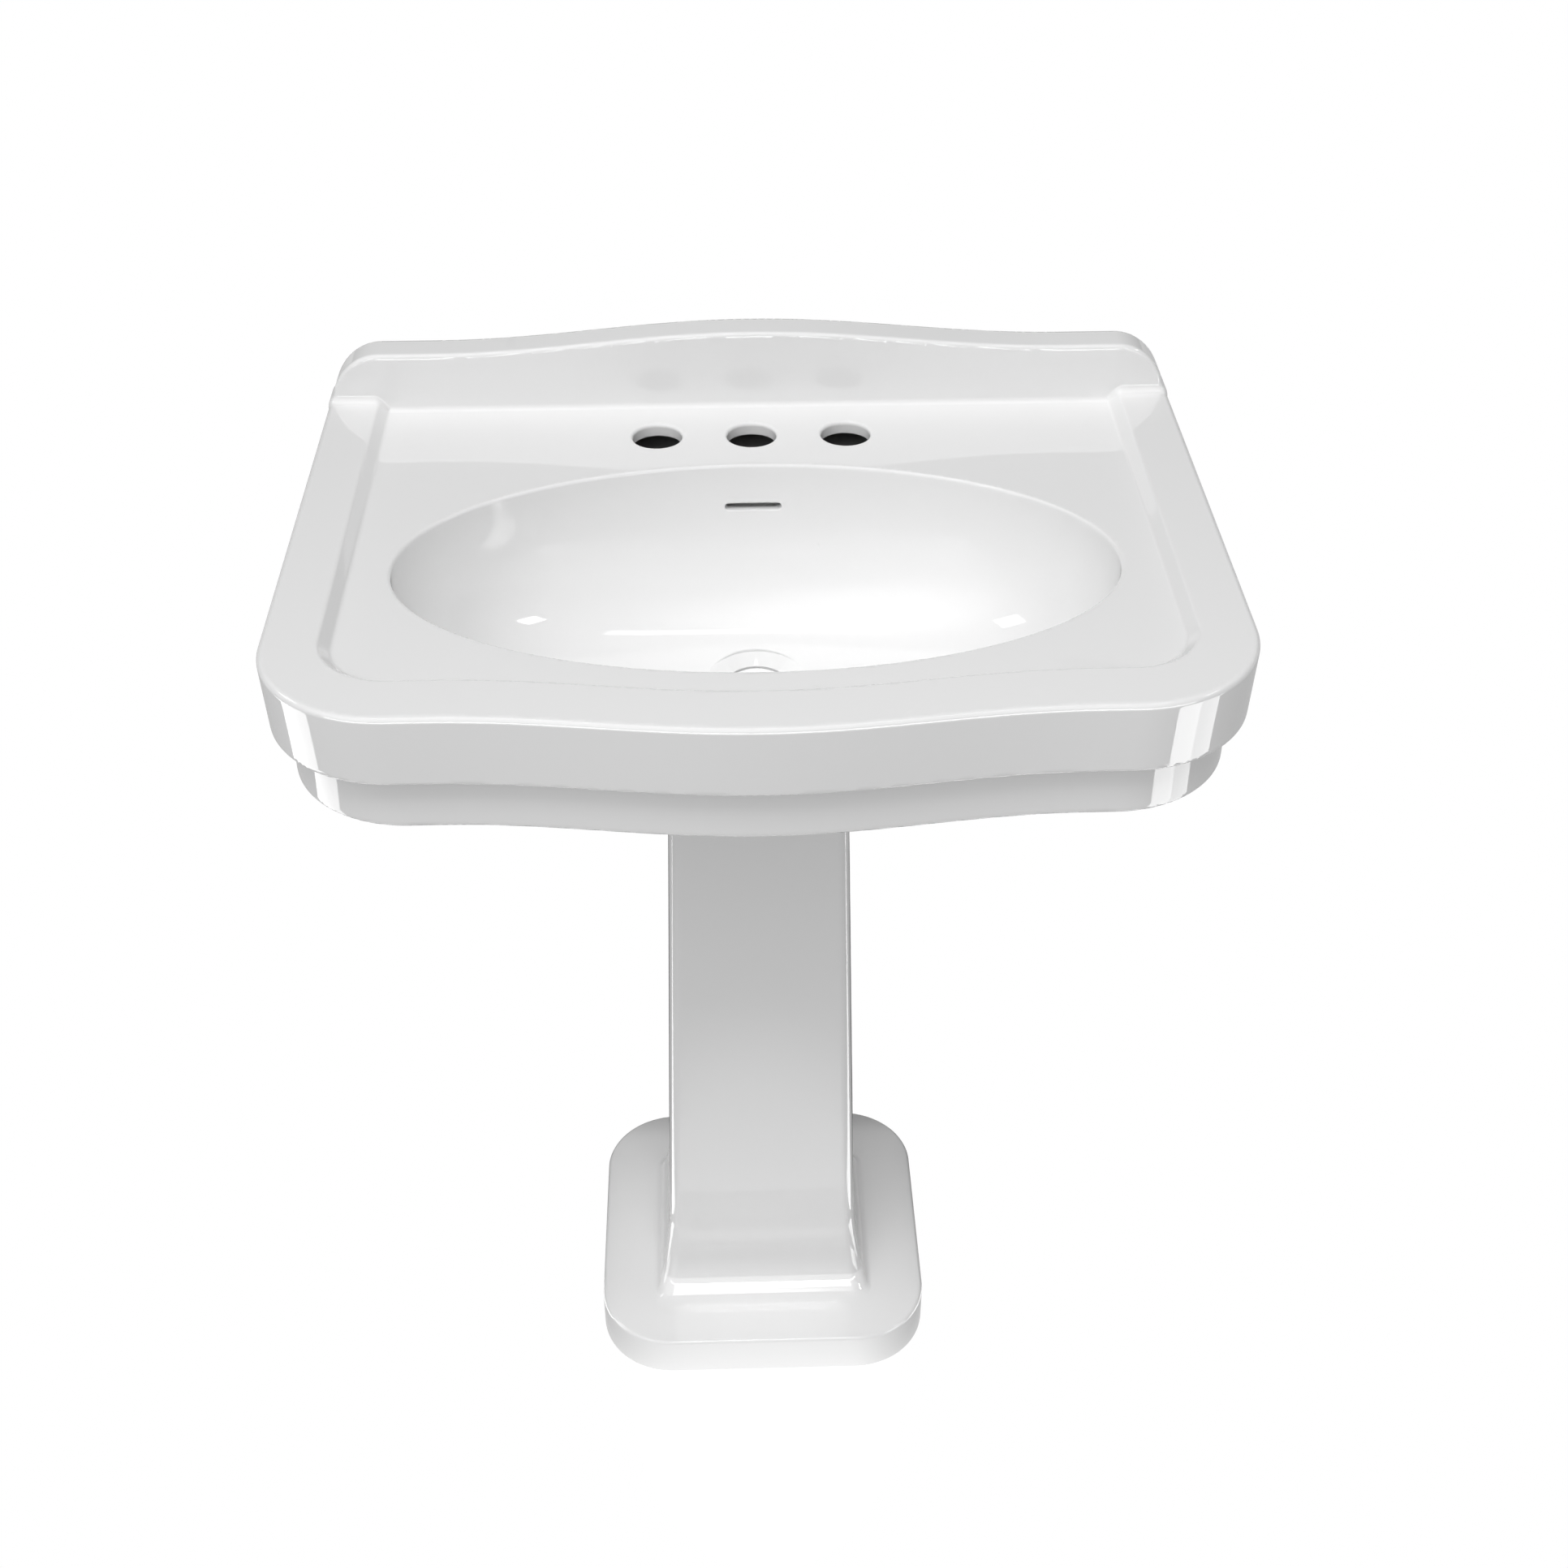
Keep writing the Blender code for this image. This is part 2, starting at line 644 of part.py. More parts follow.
# ---- fixings ------------------------------------------------------------------------------------
def build_wall_fixing(side, x):
    """Hanger bolt, nylon bush, steel washer and nut at one hole of the basin's back web."""
    wall = Vector((x, WALL_Y, RIM_Z - WALL_FIXING_DROP))
    forward = (0, -1, 0)
    bolt = [
        (HANGER_R, 0.0),
        (HANGER_R, HANGER_LENGTH - HANGER_CHAMFER),
        (HANGER_R - HANGER_CHAMFER, HANGER_LENGTH),
    ]
    turned(f"hanger_bolt_{side}", bolt, wall, forward, ZINC, closed=False)

    inner = HANGER_R + GAP
    sleeve = WALL_HOLE_R - GAP
    web = TIER_WALL + GAP
    flange = web + WALL_BUSH_FLANGE
    bush = [(inner, GAP), (sleeve, GAP), (sleeve, web), (WALL_BUSH_R, web), (WALL_BUSH_R, flange)]
    bush.append((inner, flange))
    turned(f"nylon_bush_{side}", bush, wall, forward, NYLON, closed=True)

    low = flange + GAP
    high = low + WALL_WASHER_THICKNESS
    washer = [(inner, low), (WALL_WASHER_R, low), (WALL_WASHER_R, high), (inner, high)]
    turned(f"steel_washer_{side}", washer, wall, forward, ZINC, closed=True)
    nut = wall - Vector((0, high + GAP, 0))
    hex_nut(f"hex_nut_{side}", NUT_ACROSS_FLATS, inner, NUT_HEIGHT, nut, forward, ZINC)


def build_floor_fixing(side, x):
    """Floor screw, nylon bush, steel washer and cover cap at one hole of the pedestal's foot flange."""
    base = Vector((x, FLOOR_FIXING_Y, 0.0))
    up = (0, 0, 1)
    inner = FLOOR_SCREW_R + GAP
    sleeve = FLOOR_HOLE_R - GAP
    top = FLANGE_THICKNESS + GAP
    flange = top + FLOOR_BUSH_FLANGE
    bush = [(inner, FLOOR_CLEARANCE), (sleeve, FLOOR_CLEARANCE), (sleeve, top), (FLOOR_BUSH_R, top)]
    bush += [(FLOOR_BUSH_R, flange), (inner, flange)]
    turned(f"floor_bush_{side}", bush, base, up, NYLON, closed=True)

    low = flange + GAP
    high = low + FLOOR_WASHER_THICKNESS
    washer = [(inner, low), (FLOOR_WASHER_R, low), (FLOOR_WASHER_R, high), (inner, high)]
    turned(f"floor_washer_{side}", washer, base, up, ZINC, closed=True)

    head_z = high + GAP
    shank = head_z - FLOOR_CLEARANCE
    tip = base + Vector((0, 0, FLOOR_CLEARANCE))
    hex_screw(
        f"floor_screw_{side}", SCREW_ACROSS_FLATS, SCREW_HEAD_HEIGHT, FLOOR_SCREW_R, shank, tip, up, ZINC
    )

    roof = head_z + CAP_ROOF_HEIGHT
    cap = [(CAP_INNER_R, roof), (CAP_INNER_R, head_z), (CAP_OUTER_R, head_z)]
    cap += [(CAP_OUTER_R, roof - CAP_SHOULDER), (CAP_INNER_R, roof + CAP_ROOF_THICKNESS)]
    turned(f"screw_cap_{side}", cap, base, up, NYLON, closed=False)


def build_pads():
    """Four rubber pads on the pedestal's top edge, which the flat under the bowl rests on."""
    low = PEDESTAL_TOP_Z + GAP
    middle = COLUMN_WALL / 2
    front_y = COLUMN_TOP_FRONT_Y + middle
    side_x = COLUMN_TOP_HALF_WIDTH - middle
    places = {
        "front_left": (-PAD_FRONT_X, front_y),
        "front_right": (PAD_FRONT_X, front_y),
        "side_left": (-side_x, PAD_SIDE_Y),
        "side_right": (side_x, PAD_SIDE_Y),
    }
    for place, (x, y) in places.items():
        rod(f"rubber_pad_{place}", PAD_R, (x, y, low), (x, y, low + PAD_THICKNESS), RUBBER)


def main():
    """Build every piece."""
    clear_scene()
    build_basin()
    build_pedestal()
    build_pads()
    for side, sign in (("left", -1), ("right", 1)):
        build_wall_fixing(side, sign * WALL_FIXING_X)
        build_floor_fixing(side, sign * FLOOR_FIXING_X)


main()
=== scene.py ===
"""Looks of a glazed pedestal sink: the basin, its pedestal, and the fixings that hold both.

The two castings are described as solid fields, distances in metres from their surface, and meshed from
those fields, so every edge has the soft round of a glazed casting. Everything else is turned or lofted.
"""

import logging
import math
from collections.abc import Callable, Sequence
from dataclasses import dataclass, field
from enum import Enum

import bmesh
import bpy
import numpy as np
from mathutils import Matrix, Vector

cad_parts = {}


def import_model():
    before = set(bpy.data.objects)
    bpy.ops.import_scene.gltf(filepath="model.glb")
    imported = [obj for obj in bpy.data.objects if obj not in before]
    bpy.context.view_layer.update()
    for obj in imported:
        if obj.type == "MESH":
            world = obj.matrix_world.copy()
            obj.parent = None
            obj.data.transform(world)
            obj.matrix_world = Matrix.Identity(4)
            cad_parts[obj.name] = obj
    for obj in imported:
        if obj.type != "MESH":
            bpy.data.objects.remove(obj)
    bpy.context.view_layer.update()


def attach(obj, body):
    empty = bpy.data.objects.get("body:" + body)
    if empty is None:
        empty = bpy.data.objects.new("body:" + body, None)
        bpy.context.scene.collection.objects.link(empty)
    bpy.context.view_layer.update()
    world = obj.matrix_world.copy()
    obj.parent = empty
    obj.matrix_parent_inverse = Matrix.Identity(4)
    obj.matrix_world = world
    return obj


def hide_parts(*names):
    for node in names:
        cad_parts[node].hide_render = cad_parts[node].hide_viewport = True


LOG = logging.getLogger("pedestal_sink")
Array = np.ndarray
Triple = tuple[float, float, float]
Pair = tuple[float, float]
Line = tuple[Pair, ...]
MM = 0.001
SHARP_DEGREES = 35.0


# ---- fields of solids ----
def round_meet(a: Array, b: Array, radius: Array | float) -> Array:
    """Intersection of two solids with a convex round of the given radius where they meet.

    Args:
        a: Distance field of the first solid, negative inside.
        b: Distance field of the second solid.
        radius: Radius of the rounded edge.

    Returns:
        The field of the rounded intersection.
    """
    inner = np.minimum(-radius, np.maximum(a, b))
    return inner + np.hypot(np.maximum(a + radius, 0.0), np.maximum(b + radius, 0.0))


def round_join(a: Array, b: Array, radius: Array | float) -> Array:
    """Union of two solids with a concave fillet of the given radius where they meet."""
    outer = np.maximum(radius, np.minimum(a, b))
    return outer - np.hypot(np.maximum(radius - a, 0.0), np.maximum(radius - b, 0.0))


def round_cut(a: Array, b: Array, radius: Array | float) -> Array:
    """The first solid with the second cut away, its new edge rounded."""
    return round_meet(a, -b, radius)


def ease(value: Array, start: float, end: float) -> Array:
    """A smooth step from 0 at start to 1 at end."""
    share = np.clip((value - start) / (end - start), 0.0, 1.0)
    return share * share * (3.0 - 2.0 * share)


def oblong_field(x: Array, y: Array, half_x: Array, half_y: Array, radius: float) -> Array:
    """Signed distance from a rounded oblong centred on the origin of x and y."""
    return round_meet(np.abs(x) - half_x, np.abs(y) - half_y, radius)


def path_field(u: Array, v: Array, points: Line, radius: float) -> Array:
    """Signed distance from a thick bent strip, given as the points of its middle line."""
    best = np.full(u.shape, 1e3, u.dtype)
    for (u0, v0), (u1, v1) in zip(points, points[1:]):
        du, dv = u1 - u0, v1 - v0
        share = np.clip(((u - u0) * du + (v - v0) * dv) / (du * du + dv * dv), 0.0, 1.0)
        best = np.minimum(best, np.hypot(u - u0 - share * du, v - v0 - share * dv))
    return best - radius


# ---- from field to mesh ----
@dataclass
class FieldMesher:
    """Turns a solid field into a mesh whose corners sit on the surface and on its edges.

    Attributes:
        solid: Function of x, y and z arrays that gives the distance from the surface.
        lines: Grid lines along X, Y and Z, closer together where there is fine detail.
        keep: Share of the faces kept after flat areas are thinned out.
        tight_degrees: Lean of a face against the surface from which its corner is on a tight edge.
        probe: Distance over which the field's slope is measured, to each side.
        stride: Longest move of a point in one round of settling.
        least_slope: Smallest squared slope that settling reckons with.
        middle_pull: How firmly a corner is held near the middle of its cell's crossings.
        edge_reach: How far in from a tight edge its normals are taken.
    """

    solid: Callable[[Array, Array, Array], Array]
    lines: tuple[Array, Array, Array]
    keep: float
    tight_degrees: float = 12.0
    probe: float = 0.1 * MM
    stride: float = 1.0 * MM
    least_slope: float = 0.05
    middle_pull: float = 0.03
    edge_reach: float = 1.2 * MM

    def slope(self, points: Array) -> Array:
        """Gradient of the field at some points."""
        parts = []
        for axis in range(3):
            shift = np.zeros(3)
            shift[axis] = self.probe
            ahead = self.solid(*(points + shift).T)
            behind = self.solid(*(points - shift).T)
            parts.append((ahead - behind) / (2 * self.probe))
        return np.stack(parts, 1)

    def direction(self, points: Array) -> Array:
        """Unit normals of the surface at some points."""
        slope = self.slope(points)
        return slope / np.maximum(np.linalg.norm(slope, axis=1, keepdims=True), 1e-9)

    def settle(self, points: Array, rounds: int = 3) -> Array:
        """Move points along the gradient until they lie on the surface."""
        for _ in range(rounds):
            slope = self.slope(points)
            size = np.maximum((slope**2).sum(1), self.least_slope)
            move = -(self.solid(*points.T) / size)[:, None] * slope
            reach = np.linalg.norm(move, axis=1)
            move *= np.minimum(1.0, self.stride / np.maximum(reach, 1e-12))[:, None]
            points = points + move
        return points

    def sample(self) -> Array:
        """The field at every corner of the grid."""
        x, y = np.meshgrid(self.lines[0], self.lines[1], indexing="ij")
        values = np.empty([len(line) for line in self.lines], np.float32)
        for level, z in enumerate(self.lines[2]):
            values[:, :, level] = self.solid(x, y, np.full_like(x, z))
        return values

    def crossings(self, values: Array, axis: int) -> tuple[Array, Array, Array]:
        """Grid edges along one axis that the surface crosses.

        Args:
            values: The field at the grid's corners.
            axis: The axis of the edges.

        Returns:
            The edges' lower corners as grid indices, the crossing points, and whether each edge
            leaves the solid in the axis's direction.
        """
        first = [slice(None)] * 3
        second = [slice(None)] * 3
        first[axis] = slice(0, -1)
        second[axis] = slice(1, None)
        start, end = values[tuple(first)], values[tuple(second)]
        index = np.argwhere((start < 0) != (end < 0))
        at = tuple(index.T)
        share = start[at] / (start[at] - end[at])
        points = np.stack([self.lines[k][index[:, k]] for k in range(3)], 1)
        points[:, axis] += share * np.diff(self.lines[axis])[index[:, axis]]
        return index, points, start[at] < 0

    def build(self) -> tuple[Array, Array]:
        """Mesh the surface.

        Returns:
            The corners, and the four-sided faces as indices of corners.
        """
        values = self.sample()
        owners, points, normals, faces = [], [], [], []
        for axis in range(3):
            index, crossing, leaving = self.crossings(values, axis)
            crossing = self.settle(crossing, 2)
            slope = self.direction(crossing)
            u, v = (axis + 1) % 3, (axis + 2) % 3
            around = []
            for back_u, back_v in ((1, 1), (0, 1), (0, 0), (1, 0)):
                cell = index.copy()
                cell[:, u] -= back_u
                cell[:, v] -= back_v
                around.append(np.ravel_multi_index(tuple(cell.T), values.shape))
            quads = np.stack(around, 1)
            quads[~leaving] = quads[~leaving][:, ::-1]
            faces.append(quads)
            owners += around
            points += [crossing] * 4
            normals += [slope] * 4
        cells, owner = np.unique(np.concatenate(owners), return_inverse=True)
        corners = self.corners(owner, np.concatenate(points), np.concatenate(normals), len(cells))
        at = np.unravel_index(cells, values.shape)
        low = np.stack([self.lines[k][at[k]] for k in range(3)], 1)
        high = np.stack([self.lines[k][at[k] + 1] for k in range(3)], 1)
        corners = self.settle(np.clip(corners, low, high))
        return corners, np.searchsorted(cells, np.concatenate(faces))

    def corners(self, owner: Array, points: Array, normals: Array, count: int) -> Array:
        """The point of each cell that lies closest to all planes that cross its edges."""
        def total(weights: Array) -> Array:
            return np.bincount(owner, weights, count)

        shares = total(np.ones(len(owner)))
        middle = np.stack([total(points[:, k]) for k in range(3)], 1) / shares[:, None]
        offset = ((points - middle[owner]) * normals).sum(1)
        matrix = np.empty((count, 3, 3))
        for i in range(3):
            for j in range(3):
                matrix[:, i, j] = total(normals[:, i] * normals[:, j])
        matrix += self.middle_pull * shares[:, None, None] * np.eye(3)
        aim = np.stack([total(normals[:, k] * offset) for k in range(3)], 1)
        return middle + np.linalg.solve(matrix, aim[:, :, None])[:, :, 0]

    def mesh(self, name: str) -> bpy.types.Object:
        """The finished object, with flat areas thinned out and its corners back on the surface."""
        thing = object_from(name, *self.build())
        thin = thing.modifiers.new("thin", "DECIMATE")
        thin.ratio = self.keep
        bake_modifiers(thing)
        points = self.settle(vertex_array(thing.data))
        thing.data.vertices.foreach_set("co", points.astype(np.float32).ravel())
        thing.data.update()
        self.shade(thing.data)
        return thing

    def shade(self, mesh: bpy.types.Mesh) -> None:
        """Give every face corner the surface's normal, taken a little way in from tight edges."""
        mesh.shade_smooth()
        points = vertex_array(mesh)
        vertex = np.empty(len(mesh.loops), np.int32)
        mesh.loops.foreach_get("vertex_index", vertex)
        sizes = np.empty(len(mesh.polygons), np.int32)
        mesh.polygons.foreach_get("loop_total", sizes)
        flat, middle = np.empty((2, len(mesh.polygons) * 3), np.float32)
        mesh.polygons.foreach_get("normal", flat)
        mesh.polygons.foreach_get("center", middle)
        flat = np.repeat(flat.reshape(-1, 3), sizes, 0)
        middle = np.repeat(middle.reshape(-1, 3), sizes, 0)
        exact = self.direction(points)[vertex]
        tight = (flat * exact).sum(1) < math.cos(math.radians(self.tight_degrees))
        inward = middle[tight] - points[vertex[tight]]
        reach = np.linalg.norm(inward, axis=1, keepdims=True)
        step = np.minimum(0.5, self.edge_reach / np.maximum(reach, 1e-9))
        exact[tight] = self.direction(points[vertex[tight]] + step * inward)
        lost = (flat * exact).sum(1) < 0.5
        exact[lost] = flat[lost]
        mesh.normals_split_custom_set(exact)


# ---- mesh helpers ----
def placed(name: str, data: bpy.types.ID) -> bpy.types.Object:
    """A new object around some data, put into the scene."""
    thing = bpy.data.objects.new(name, data)
    bpy.context.scene.collection.objects.link(thing)
    return thing


def object_from(name: str, corners: Array | Sequence, faces: Array | Sequence) -> bpy.types.Object:
    """A mesh object from corners and faces."""
    mesh = bpy.data.meshes.new(name)
    mesh.from_pydata([tuple(c) for c in corners], [], [tuple(int(i) for i in f) for f in faces])
    mesh.update()
    return placed(name, mesh)


def vertex_array(mesh: bpy.types.Mesh) -> Array:
    """A mesh's corners as an array."""
    flat = np.empty(len(mesh.vertices) * 3, np.float32)
    mesh.vertices.foreach_get("co", flat)
    return flat.reshape(-1, 3).astype(float)


def bake_modifiers(thing: bpy.types.Object) -> None:
    """Replace an object's mesh by its evaluated one and drop its modifiers."""
    graph = bpy.context.evaluated_depsgraph_get()
    graph.update()
    mesh = bpy.data.meshes.new_from_object(thing.evaluated_get(graph))
    old = thing.data
    thing.modifiers.clear()
    thing.data = mesh
    bpy.data.meshes.remove(old)
    mesh.name = thing.name


def soften(mesh: bpy.types.Mesh) -> None:
    """Smooth shading, except along the edges where the faces lean far apart."""
    mesh.shade_smooth()
    mesh.set_sharp_from_angle(angle=math.radians(SHARP_DEGREES))


def unite(first: bpy.types.Object, second: bpy.types.Object) -> None:
    """Join two solids into the first one."""
    joined = first.modifiers.new("unite", "BOOLEAN")
    joined.operation = "UNION"
    joined.object = second
    bake_modifiers(first)
    bpy.data.objects.remove(second, do_unlink=True)
    soften(first.data)


def loft(name: str, rings: Sequence[Sequence[Vector]], closed: bool) -> bpy.types.Object:
    """An object through rings of equal point counts.

    Args:
        name: The object's name.
        rings: The rings in order.
        closed: True joins the last ring to the first; False caps both ends.

    Returns:
        The lofted object, with its faces pointing outwards.
    """
    bm = bmesh.new()
    rows = [[bm.verts.new(point) for point in ring] for ring in rings]
    pairs = list(zip(rows, rows[1:]))
    if closed:
        pairs.append((rows[-1], rows[0]))
    count = len(rows[0])
    for low, high in pairs:
        for i in range(count):
            j = (i + 1) % count
            bm.faces.new((low[i], low[j], high[j], high[i]))
    if not closed:
        bm.faces.new(rows[0])
        bm.faces.new(rows[-1])
    bmesh.ops.recalc_face_normals(bm, faces=bm.faces)
    mesh = bpy.data.meshes.new(name)
    bm.to_mesh(mesh)
    bm.free()
    soften(mesh)
    return placed(name, mesh)


# ---- shared sizes, metres ----
@dataclass(frozen=True)
class SinkSizes:
    """Overall sizes that both castings and the fixings share; drops are measured down from the rim."""

    rim_z: float = 0.755
    half_width: float = 0.305
    wall_y: float = 0.224
    front_y: float = -0.2065
    bulge: float = 0.0175
    bulge_half_span: float = 0.197
    underside_drop: float = 0.147
    back_web: float = 0.012
    pad_thickness: float = 0.003
    gap: float = 0.0003
    drain_y: float = 0.0255
    wall_fixing_x: float = 0.140
    wall_fixing_drop: float = 0.062
    floor_fixing_x: float = 0.0525
    floor_fixing_y: float = 0.075
    flange: float = 0.014

    @property
    def pedestal_top(self) -> float:
        """Height of the column's top edge, under the rubber pads."""
        return self.rim_z - self.underside_drop - self.pad_thickness - 2 * self.gap


SIZES = SinkSizes()


def swell(x: Array, half_span: float) -> Array:
    """A smooth swell: 1 at the centre line, 0 from half_span outwards."""
    return 0.5 * (1.0 + np.cos(np.pi * np.clip(np.abs(x) / half_span, 0.0, 1.0)))


def graded(start: float, end: float, coarse: float, *bands: Triple) -> Array:
    """Grid lines from start to end, with finer steps inside some bands.

    Args:
        start: First line.
        end: The last line is at or past this value.
        coarse: Step outside the bands.
        bands: Low end, high end and step of each finer band.

    Returns:
        The lines in rising order.
    """
    lines = [start]
    while lines[-1] < end:
        here = lines[-1]
        steps = [step for low, high, step in bands if low <= here < high]
        ahead = [low - here for low, high, step in bands if 1e-6 < low - here < coarse]
        lines.append(here + min(steps + ahead + [coarse]))
    return np.array(lines)


# ---- finishes ----
class NodeGraph:
    """Helper around one tree of shading nodes."""

    def __init__(self, tree: bpy.types.NodeTree) -> None:
        self.tree = tree

    def feed(self, node: bpy.types.Node | str, inputs: dict[str | int, object]) -> None:
        """Link sockets to the inputs of a node, or of the node of some name, or set plain values on them."""
        node = self.tree.nodes[node] if isinstance(node, str) else node
        for key, value in inputs.items():
            if isinstance(value, bpy.types.NodeSocket):
                self.tree.links.new(value, node.inputs[key])
            else:
                node.inputs[key].default_value = value

    def node(
        self, kind: str, inputs: dict[str | int, object] | None = None, operation: str | None = None
    ) -> bpy.types.Node:
        """A new node, fed with sockets or values and set to an operation where it has one."""
        made = self.tree.nodes.new(kind)
        if operation:
            made.operation = operation
        self.feed(made, inputs or {})
        return made

    def combine(self, operation: str, first: object, second: object) -> bpy.types.NodeSocket:
        """The result of one math operation on two sockets or numbers."""
        return self.node("ShaderNodeMath", {0: first, 1: second}, operation).outputs["Value"]

    def camera_ray(self) -> bpy.types.NodeSocket:
        """A value that is 1 for what the camera sees directly."""
        return self.node("ShaderNodeLightPath").outputs["Is Camera Ray"]


class NodeMaterial(NodeGraph):
    """Helper around one node material."""

    def __init__(self, name: str) -> None:
        self.material = bpy.data.materials.new(name)
        self.material.use_nodes = True
        super().__init__(self.material.node_tree)
        self.shader = self.tree.nodes["Principled BSDF"]

    def show_one_side(self, shader: bpy.types.NodeSocket) -> None:
        """Let a shader show from the front only, clear from the back."""
        back = self.node("ShaderNodeNewGeometry").outputs["Backfacing"]
        clear = self.node("ShaderNodeBsdfTransparent").outputs["BSDF"]
        mix = self.node("ShaderNodeMixShader", {"Fac": back, 1: shader, 2: clear})
        self.feed("Material Output", {"Surface": mix.outputs["Shader"]})

    def noise(self, scale: float, detail: float) -> bpy.types.NodeSocket:
        """Noise in the object's own coordinates."""
        place = self.node("ShaderNodeTexCoord").outputs["Object"]
        made = self.node("ShaderNodeTexNoise", {"Scale": scale, "Detail": detail, "Vector": place})
        return made.outputs["Fac"]

    def roughen(self, source: bpy.types.NodeSocket, low: float, high: float) -> None:
        """Let a value from 0 to 1 vary the roughness from low to high."""
        spread = self.node("ShaderNodeMapRange", {"Value": source, "To Min": low, "To Max": high})
        self.feed(self.shader, {"Roughness": spread.outputs["Result"]})

    def bump(self, source: bpy.types.NodeSocket, strength: float, distance: float) -> None:
        """Let a value raise and lower the skin."""
        inputs = {"Height": source, "Strength": strength, "Distance": distance}
        self.feed(self.shader, {"Normal": self.node("ShaderNodeBump", inputs).outputs["Normal"]})


@dataclass(frozen=True)
class Glaze:
    """White vitreous glaze: a glossy clear layer with a barely uneven skin.

    Grain and wave are the scales of the noise in its roughness and in its skin.
    """

    slot: str = "glaze"
    colour: Triple = (0.90, 0.90, 0.90)
    roughness: Pair = (0.04, 0.06)
    grain: float = 60.0
    wave: float = 9.0
    waviness: float = 0.012
    depth: float = 0.01
    index: float = 1.52
    coat: float = 0.35
    coat_roughness: float = 0.02

    def material(self) -> bpy.types.Material:
        """Build the node material."""
        made = NodeMaterial("white_glaze")
        made.feed(made.shader, {"Base Color": (*self.colour, 1.0), "IOR": self.index})
        made.feed(made.shader, {"Coat Weight": self.coat, "Coat Roughness": self.coat_roughness})
        made.roughen(made.noise(self.grain, 2.0), *self.roughness)
        made.bump(made.noise(self.wave, 1.0), self.waviness, self.depth)
        return made.material


@dataclass(frozen=True)
class ZincPlate:
    """Bright zinc plating, slightly cloudy, from a dark to a bright tone."""

    slot: str = "zinc_steel"
    dark: Triple = (0.527, 0.5355, 0.544)
    bright: Triple = (0.682, 0.693, 0.704)
    roughness: Pair = (0.22, 0.40)
    cloud: float = 220.0

    def material(self) -> bpy.types.Material:
        """Build the node material."""
        made = NodeMaterial("zinc_plate")
        cloud = made.noise(self.cloud, 3.0)
        made.roughen(cloud, *self.roughness)
        ramp = made.node("ShaderNodeValToRGB", {"Fac": cloud})
        for element, colour in zip(ramp.color_ramp.elements, (self.dark, self.bright)):
            element.color = (*colour, 1.0)
        made.feed(made.shader, {"Metallic": 1.0, "Base Color": ramp.outputs["Color"]})
        return made.material


@dataclass(frozen=True)
class Moulded:
    """A moulded plastic or rubber with a fine grain.

    Attributes:
        slot: Material slot of the part's record.
        colour: Base colour.
        roughness: Least and greatest roughness.
        strength: Strength of the fine bump.
        grain: Its scale.
        depth: Its height in metres.
    """

    slot: str
    colour: Triple
    roughness: Pair
    strength: float
    grain: float = 900.0
    depth: float = 0.5 * MM

    def material(self) -> bpy.types.Material:
        """Build the node material."""
        made = NodeMaterial(self.slot + "_moulded")
        made.feed(made.shader, {"Base Color": (*self.colour, 1.0)})
        fine = made.noise(self.grain, 2.0)
        made.roughen(fine, *self.roughness)
        made.bump(fine, self.strength, self.depth)
        return made.material


class Finish(Enum):
    """The finishes of the sink's pieces."""

    GLAZE = Glaze()
    ZINC = ZincPlate()
    NYLON = Moulded("nylon", (0.82, 0.81, 0.77), (0.40, 0.50), 0.08)
    RUBBER = Moulded("rubber", (0.03, 0.03, 0.03), (0.70, 0.80), 0.3)


class Paint:
    """Hands out one shared material per finish."""

    def __init__(self) -> None:
        self.made: dict[Finish, bpy.types.Material] = {}

    def put_on(self, thing: bpy.types.Object, look: Finish) -> None:
        """Give an object its finish's shared material."""
        if look not in self.made:
            self.made[look] = look.value.material()
        thing.data.materials.clear()
        thing.data.materials.append(self.made[look])


# ---- sub-assemblies ----
@dataclass
class SubAssembly:
    """One group of pieces that are built, then dressed.

    Attributes:
        paint: Source of the materials.
        pieces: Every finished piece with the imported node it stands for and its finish.
    """

    paint: Paint
    pieces: list[tuple[bpy.types.Object, str, Finish]] = field(default_factory=list)

    def build(self) -> None:
        """Make the pieces' shapes."""
        raise NotImplementedError

    def add(self, thing: bpy.types.Object, node: str, look: Finish) -> None:
        """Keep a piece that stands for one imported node."""
        self.pieces.append((thing, node, look))

    def dress(self) -> None:
        """Finish every piece and fasten it to the body."""
        for thing, node, look in self.pieces:
            self.paint.put_on(thing, look)
            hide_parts(node)
            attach(thing, "root")
            LOG.info("%s stands for %s, %d faces", thing.name, node, len(thing.data.polygons))


